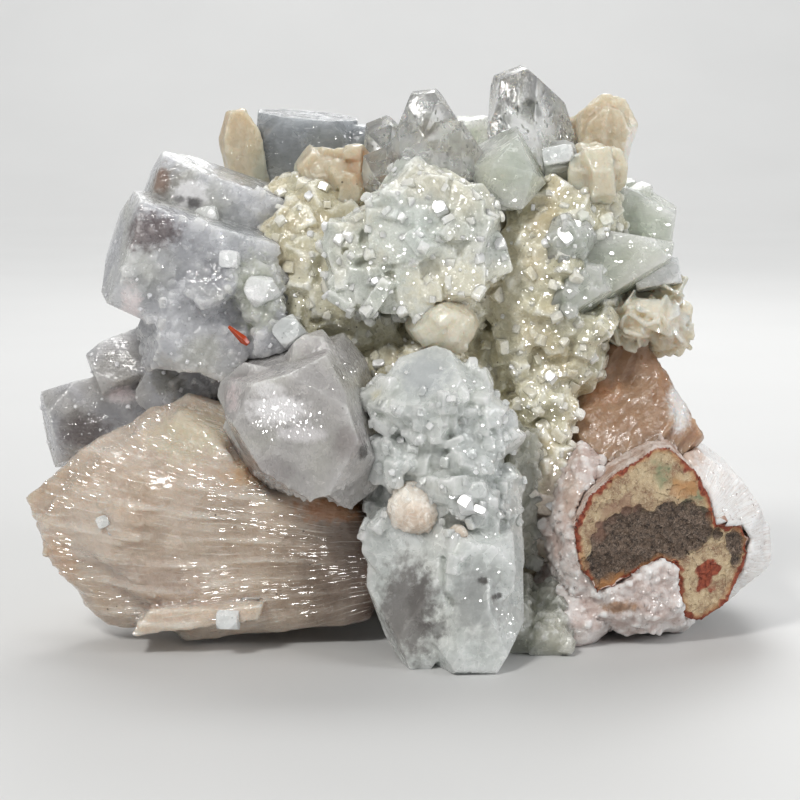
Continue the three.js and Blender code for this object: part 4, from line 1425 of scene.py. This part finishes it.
# Each row: two ends of a band of flecks as x and z in millimetres, and its half width.
FLECKS = [
    ((-62, 28.0), (-44, 39), 5.4), ((-33, 27), (-8, 15), 6.0), ((-38, 14), (-18, 10), 3.4),
    ((-61, 18), (-48, 6), 4.6), ((-47, 34), (-20, 29), 2.2), ((-48, 9.4), (-26, 9.8), 1.4),
]
flecks = np.zeros(len(spots))
worn = 0.8 + 0.9 * clouds_at(spots, 0.004, 6.0) + 0.4 * clouds_at(spots, 0.0015, 7.0)
for near, far, wide in FLECKS:
    near, side = np.array(near) / 1000, (np.array(far) - near) / 1000
    flat = spots[:, [0, 2]] - near
    share = np.clip(flat @ side / (side @ side), 0, 1)
    away = np.linalg.norm(flat - share[:, None] * side, axis=1)
    flecks = np.maximum(flecks, np.clip(2 * (worn - away * 1000 / wide), 0, 1))
keep_attribute(body, "flecks", flecks)
body.data.materials.clear()
body.data.materials.append(peach_stone)
keep_hollows(body)
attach(body, "root")
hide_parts("stilbite_fan")

# ---------------------------------------------------------------- stilbite: other blades
# Single blades, knobs and sheaves of the same stilbite, grown between the apophyllites.
# Their faces are finely ridged along the blades, and small blades stand on some of them.

# Each row: the solid, its finish, the crystals on it (their spacing, sizes, height, tilt and
# kind), and how deep and which way its fine ridges run.
for node, stone, gap, small, large, flat, tilt, kind, ridge, way in (
    ("left_blade", cream_stone, 0.006, 0.001, 0.002, 0.4, 0.2, seeds, 0.00025, (0.1, 0, 1)),
    ("top_knob", cream_stone, 0.0044, 0.0044, 0.0074, 0.4, 0.3, seeds, 0.00008, (1, 0, 0.2)),
    ("top_sheaf", cream_stone, 0.006, 0.001, 0.0026, 0.4, 0.3, seeds, 0.0003, (0.15, 0, 1)),
    ("right_knob", cream_stone, 0.0017, 0.0026, 0.0054, 1.0, 0.9, plates, 0.0001, (1, 0, 0.6)),
    ("centre_knob", cream_stone, 0.005, 0.002, 0.004, 0.3, 0.2, seeds, 0.00015, (1, 0, 0.3)),
    ("right_sheaf", brown_stone, 0.005, 0.0008, 0.002, 0.4, 0.3, seeds, 0.0003, (0.45, -0.2, 0.8)),
    ("back_sheaf", cream_stone, 0.004, 0.001, 0.004, 0.5, 0.3, seeds, 0.0007, (0, 0, 1)),
):
    piece = copy_of("stilbite_" + node + "_body", "stilbite_" + node)
    if node == "right_knob":
        cut_by(piece, (0.0500, -0.012, 0.062), (0.95, 0, 0.3))
    ground = ground_of(node + "_growth", piece, lambda at, out: out.y < 0.6)
    grow(ground, stone, gap, small, large, tilt, 80, flat=flat, kinds=kind, power=1.6)
    cell = {"back_sheaf": 0.0006, "right_knob": 0.0003, "top_knob": 0.0003}.get(node, 0.00042)
    intergrown("stilbite_" + node, piece, ground, stone, cell, 0 if cell < 0.0004 else 1)
    spots = places_of(piece)
    way = np.array(way) / np.linalg.norm(way)
    drawn = spots - 0.88 * np.outer(spots @ way, way)
    ridges = ridge * (clouds_at(drawn, 0.0014) + 0.5 * clouds_at(drawn, 0.0006, 3.0))
    raise_by(piece, ridges + 0.0003 * clouds_at(spots, 0.004, 5.0))

# ---------------------------------------------------------------- basalt
# The rock that all of it grew on: dark, coarse and granular where it is fresh, tan where
# it is altered, with a brick-red rind. Its broken front shows inside the white crust.

# The outline of the broken face from the front, in millimetres along X and Z. The zero of
# these drawings lies a little to the left of the specimen's own.
ZERO_X = -0.643
FACE_OUTLINE = [
    (45.4, 37.2), (38, 33), (33.4, 29), (30.8, 23.6), (31.6, 18.6), (33, 14.6), (35.6, 10.8),
    (41, 13), (47, 16.6), (49.6, 15.6), (50.2, 10), (51.6, 5.4), (55, 4.4), (59.4, 8), (62.4, 13.4),
    (63.6, 19.4), (62, 22), (57, 22.4), (55.6, 27.6), (52.4, 33), (48.6, 36.8),
]
# Zones of the face, drawn in the same way: fresh rock, brick-red patches and others.
FRESH = [
    [(33.0, 17.5), (34.2, 20.6), (36.0, 24.4), (39.1, 25.8), (45, 26), (51.6, 26.9), (55.2, 24.8),
     (57, 20.8), (55, 19.4), (49.7, 16.7), (46.8, 16.6), (43, 14), (38.7, 12), (36, 11.2),
     (33.6, 12.9)],
    [(58.7, 20.8), (63.4, 21.6), (63.4, 18.2), (61.2, 15.8), (59.0, 18.4)],
]
BRICK = [
    [(47.4, 15.6), (50.4, 15.1), (51.8, 10.7), (50.5, 9.8), (47.7, 12.9)],
    [(53.8, 15.1), (56.7, 16.2), (57.6, 14.5), (57.2, 10.7), (54.1, 10.3)]
]
GREENISH = [
    [(45.0, 35), (48.4, 33.9), (49.2, 30.6), (46, 30.2)],
    [(51.0, 29.6), (55.6, 29), (55.2, 26), (51, 26.6)]
]
RUSTY = [
    [(48.2, 31.6), (52.4, 31.4), (52.8, 28.4), (49, 28)], [(35, 12.6), (36, 11), (41, 12.4), (40, 14.4)]
]
ROSY = [[(34, 22), (36, 27), (41, 29), (43, 26), (38, 25), (36, 21)]]


def depth_in(spots, corners):
    """How many millimetres inside an outline each spot lies, seen from the front."""
    flat = spots[:, [0, 2]].astype(float) * 1000 - (ZERO_X, 0)
    best, inside = np.full(len(flat), 1000.0), np.zeros(len(flat), bool)
    corners = np.array(corners, float)
    for a, b in zip(corners, np.roll(corners, -1, 0)):
        side = b - a
        share = np.clip(((flat - a) @ side) / (side @ side), 0, 1)
        best = np.minimum(best, np.linalg.norm(flat - a - share[:, None] * side, axis=1))
        level = (a[1] > flat[:, 1]) != (b[1] > flat[:, 1])
        inside ^= level & (flat[:, 0] < side[0] * (flat[:, 1] - a[1]) / (side[1] or 1e-9) + a[0])
    return np.where(inside, best, -best)


def zone(spots, outlines, soft=0.4):
    """1 inside any of some outlines with worn edges and 0 outside."""
    worn = clouds_at(spots, 0.0016, 9.0) * 1.2
    return np.max(
        [np.clip(0.5 + (depth_in(spots, one) + worn) / soft, 0, 1) for one in outlines], axis=0
    )


rock, tree, shader, place = finish_named("basalt")
grit = noise_of(tree, place, 1300.0, 6.0, 0.75)
threads = put(
    tree, "ShaderNodeTexNoise", {"Vector": place, "Scale": 900.0, "Detail": 2.0, "Distortion": 2.5}
)
thread = math_of(tree, "ABSOLUTE", math_of(tree, "SUBTRACT", threads.outputs["Fac"], 0.5))
thread = ramp_of(tree, thread, 0.03, 0.008)
dark = mix_of(tree, ramp_of(tree, grit, 0.35, 0.68), tone(38, 28, 22), tone(118, 98, 82))
dark = mix_of(tree, math_of(tree, "MULTIPLY", thread, 0.5), dark, tone(186, 166, 148))
patch = noise_of(tree, place, 300.0, 6.0, 0.75)
tan = mix_of(tree, ramp_of(tree, patch, 0.36, 0.6), tone(146, 114, 88), tone(206, 184, 148))
tan = mix_of(tree, math_of(tree, "MULTIPLY", thread, 0.6), tan, tone(234, 220, 190))
tan = mix_of(tree, ramp_of(tree, grit, 0.42, 0.33, 0.0, 0.7), tan, tone(112, 80, 58))
face_colour = mix_of(tree, attribute_of(tree, "altered"), dark, tan)
face_colour = mix_of(
    tree, math_of(tree, "MULTIPLY", attribute_of(tree, "greenish"), ramp_of(tree, patch, 0.4, 0.6)),
    face_colour, tone(136, 142, 110)
)
face_colour = mix_of(
    tree, math_of(tree, "MULTIPLY", attribute_of(tree, "rusty"), 0.7), face_colour, tone(198, 140, 84)
)
face_colour = mix_of(
    tree, math_of(tree, "MULTIPLY", attribute_of(tree, "rosy"), 0.6), face_colour, tone(150, 112, 94)
)
brick = mix_of(tree, ramp_of(tree, grit, 0.35, 0.65), tone(112, 44, 28), tone(168, 84, 56))
face_colour = mix_of(tree, attribute_of(tree, "brick"), face_colour, brick)
side = mix_of(tree, ramp_of(tree, patch, 0.36, 0.6), tone(184, 152, 134), tone(234, 220, 212))
face_colour = mix_of(tree, attribute_of(tree, "skin"), face_colour, side)
tree.links.new(face_colour, shader.inputs["Base Color"])
shader.inputs["Roughness"].default_value = 0.62
relief = put(tree, "ShaderNodeBump", {"Strength": 0.6, "Distance": 0.0005, "Height": grit})
tree.links.new(relief.outputs[0], shader.inputs["Normal"])

front = copy_of("basalt_broken_face", "basalt_matrix")
cut_by(front, (0, -0.010, 0), (0, 1, 0))
remeshed(front, 0.00028)
spots = places_of(front)
inner = depth_in(spots, FACE_OUTLINE)
rind = 0.75 + 1.0 * clouds_at(spots, 0.003) + 0.5 * clouds_at(spots, 0.0009)
band = np.clip(0.5 + (np.clip(rind, 0.15, 2) - np.abs(inner)) / 0.3, 0, 1)
ways = np.empty(len(spots) * 3, np.float32)
front.data.vertex_normals.foreach_get("vector", ways)
to_front = ways.reshape(-1, 3) @ np.array((0.26, -0.95, -0.1))
keep_attribute(front, "skin", np.clip((0.55 - to_front) * 6, 0, 1))
fresh = zone(spots, FRESH)
for name, values in {
    "altered": 1 - fresh,
    "brick": np.maximum(band, zone(spots, BRICK, 0.3)),
    "greenish": zone(spots, GREENISH, 1.5),
    "rusty": np.maximum(zone(spots, RUSTY, 1.5), np.clip(1.4 - np.abs(inner), 0, 1) * 0.8),
    "rosy": zone(spots, ROSY, 2.0),
}.items():
    keep_attribute(front, name, values)
lumps = 0.0004 * clouds_at(spots, 0.0018) * (0.4 + fresh) - 0.0004 * fresh
raise_by(front, lumps + 0.0002 * clouds_at(spots, 0.0007, 2.0) + 0.0005 * clouds_at(spots, 0.005, 4.0))
front.data.materials.append(rock)
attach(front, "root")
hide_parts("basalt_matrix")

slab = copy_of("basalt_slab", "basalt_matrix")
cut_by(slab, (0, -0.0104, 0), (0, -1, 0))
remeshed(slab, 0.0009)
spots = places_of(slab)
veins = clouds_at(spots, 0.02) + 0.6 * clouds_at(spots, 0.005, 3.0)
veins = veins + 0.4 * clouds_at(spots, 0.0016, 5.0)
keep_attribute(slab, "altered", np.clip(veins * 1.6 - 0.1, 0, 0.6))
stains = clouds_at(spots, 0.009, 7.0) + 0.5 * clouds_at(spots, 0.0018, 8.0)
keep_attribute(slab, "brick", np.clip(stains * 4 - 2.2, 0, 0.8))
for name in ("greenish", "rusty", "rosy", "skin"):
    keep_attribute(slab, name, np.zeros(len(spots)))
lumps = 0.0013 * clouds_at(spots, 0.008) + 0.0008 * clouds_at(spots, 0.003, 2.0)
raise_by(slab, np.where(spots[:, 2] < 0.002, 0, 1) * lumps)
slab.data.materials.append(rock)
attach(slab, "root")
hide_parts("basalt_matrix")

# ---------------------------------------------------------------- zeolite crust
# White to pinkish fibrous zeolite that coats the basalt, its fibres standing on the rock,
# grainy on the outside and smooth along the broken edge.

chalk, tree, shader, place = finish_named("zeolite_crust")
clouds = noise_of(tree, place, 160.0, 5.0, 0.65)
grain = noise_of(tree, place, 1400.0, 5.0, 0.7)
skin = mix_of(tree, ramp_of(tree, clouds, 0.35, 0.62), tone(206, 186, 178), tone(234, 228, 225))
# Fibres that stand out from the middle of the broken face, white along the right edge.
spot = vector_of(tree, "SUBTRACT", place, (0.047, 0, 0.019))
spot = put(tree, "ShaderNodeSeparateXYZ", {0: spot}).outputs
turn = math_of(tree, "ARCTAN2", spot[2], spot[0])
out = math_of(
    tree, "SQRT",
    math_of(tree, "MULTIPLY_ADD", spot[0], spot[0], math_of(tree, "MULTIPLY", spot[2], spot[2]))
)
lain = put(
    tree, "ShaderNodeCombineXYZ",
    {
        0: math_of(tree, "MULTIPLY", turn, 60.0), 1: math_of(tree, "MULTIPLY", out, 160.0),
        2: math_of(tree, "MULTIPLY", put(tree, "ShaderNodeSeparateXYZ", {0: place}).outputs[1], 300.0)
    }
)
fibre = noise_of(tree, lain.outputs[0], 1.0, 3.0, 0.6)
right = ramp_of(tree, math_of(tree, "MULTIPLY_ADD", clouds, 0.008, spot[0]), 0.004, 0.014)
white = mix_of(tree, ramp_of(tree, fibre, 0.35, 0.6), tone(232, 226, 222), tone(250, 248, 246))
skin = mix_of(tree, right, skin, white)
skin = mix_of(tree, ramp_of(tree, grain, 0.42, 0.3), skin, tone(168, 148, 140))
# Painted shade in hollows and a painted highlight on ridges.
crevice_shade = attribute_of(tree, "hollow")
skin = mix_of(tree, ramp_of(tree, crevice_shade, 0.2, 1.8, 0.0, 0.7), skin, tone(168, 142, 128))
skin = mix_of(tree, ramp_of(tree, crevice_shade, -0.3, -1.4, 0.0, 0.7), skin, tone(255, 252, 250))
skin = marked(
    tree,
    place,
    skin,
    [
        (tone(168, 130, 98), 0.85, (38.9, -24, 8.2), (4.6, 8, 1.7)),
        (tone(214, 184, 164), 0.6, (30.5, -20, 27), (3, 8, 6)),
        (tone(214, 188, 170), 0.8, (50, -14, 35.5), (7, 16, 5)),
    ],
)
tree.links.new(skin, shader.inputs["Base Color"])
shader.inputs["Subsurface Weight"].default_value = 0.6
shader.inputs["Subsurface Radius"].default_value = (1.0, 0.9, 0.85)
shader.inputs["Subsurface Scale"].default_value = 0.002
height = math_of(tree, "MULTIPLY_ADD", math_of(tree, "MULTIPLY", fibre, right), 0.8, grain)
relief = put(tree, "ShaderNodeBump", {"Strength": 0.6, "Distance": 0.0005, "Height": height})
tiled = vector_of(tree, "MULTIPLY", place, (3400, 3400, 3400))
glinting(
    tree, shader, tiled, relief.outputs[0], ramp_of(tree, right, 0.0, 1.0, 0.5, 0.34),
    ramp_of(tree, right, 0.0, 1.0, 0.12, 0.03)
)

crust = copy_of("zeolite_crust_body", "zeolite_crust")
for spot, facing in (((50.4, -8, 37.2), (0.60, 0, 0.80)), ((62.4, -8, 28.6), (0.86, 0, 0.5))):
    cut_by(crust, Vector(spot) / 1000, facing)
# Grains of the same zeolite stand on its left and lower sides.
ground = ground_of(
    "zeolite_grains", crust,
    lambda at, out: out.y < 0.2 and at.x < 0.052 and out.z > -0.8 and at.z > 0.004
)
grow(ground, chalk, 0.0011, 0.0005, 0.0018, 0.9, 71, flat=0.8, power=1.8)
intergrown("zeolite_crust", crust, ground, chalk, 0.00038)
spots = places_of(crust)
above_foot = np.clip(spots[:, 2] / 0.002, 0, 1)
rough = np.where((spots[:, 0] < 0.054) | (spots[:, 0] > 0.0655), 1.0, 0.45) * above_foot
lumps = 0.0006 * clouds_at(spots, 0.0035) + 0.0003 * clouds_at(spots, 0.0013, 2.0)
raise_by(crust, 0.0003 * above_foot + rough * lumps)

# ---------------------------------------------------------------- red splinter
# A small splinter of red-orange heulandite, glassy and sharp, caught between the crystals
# left of the middle. Nothing holds it but the crystals that grew round its root.

SPLINTER_EDGE = 0.0001

ember, tree, shader, place = finish_named("red_mineral")
flame = noise_of(tree, place, 900.0, 3.0)
tree.links.new(mix_of(tree, flame, tone(150, 36, 16), tone(226, 96, 44)), shader.inputs["Base Color"])
shader.inputs["Roughness"].default_value = 0.2
shader.inputs["Transmission Weight"].default_value = 0.2
large_crystals("red_splinter", ember, SPLINTER_EDGE)

for seed in [*seeds.objects, *plates.objects, *blades.objects]:
    bpy.data.objects.remove(seed)
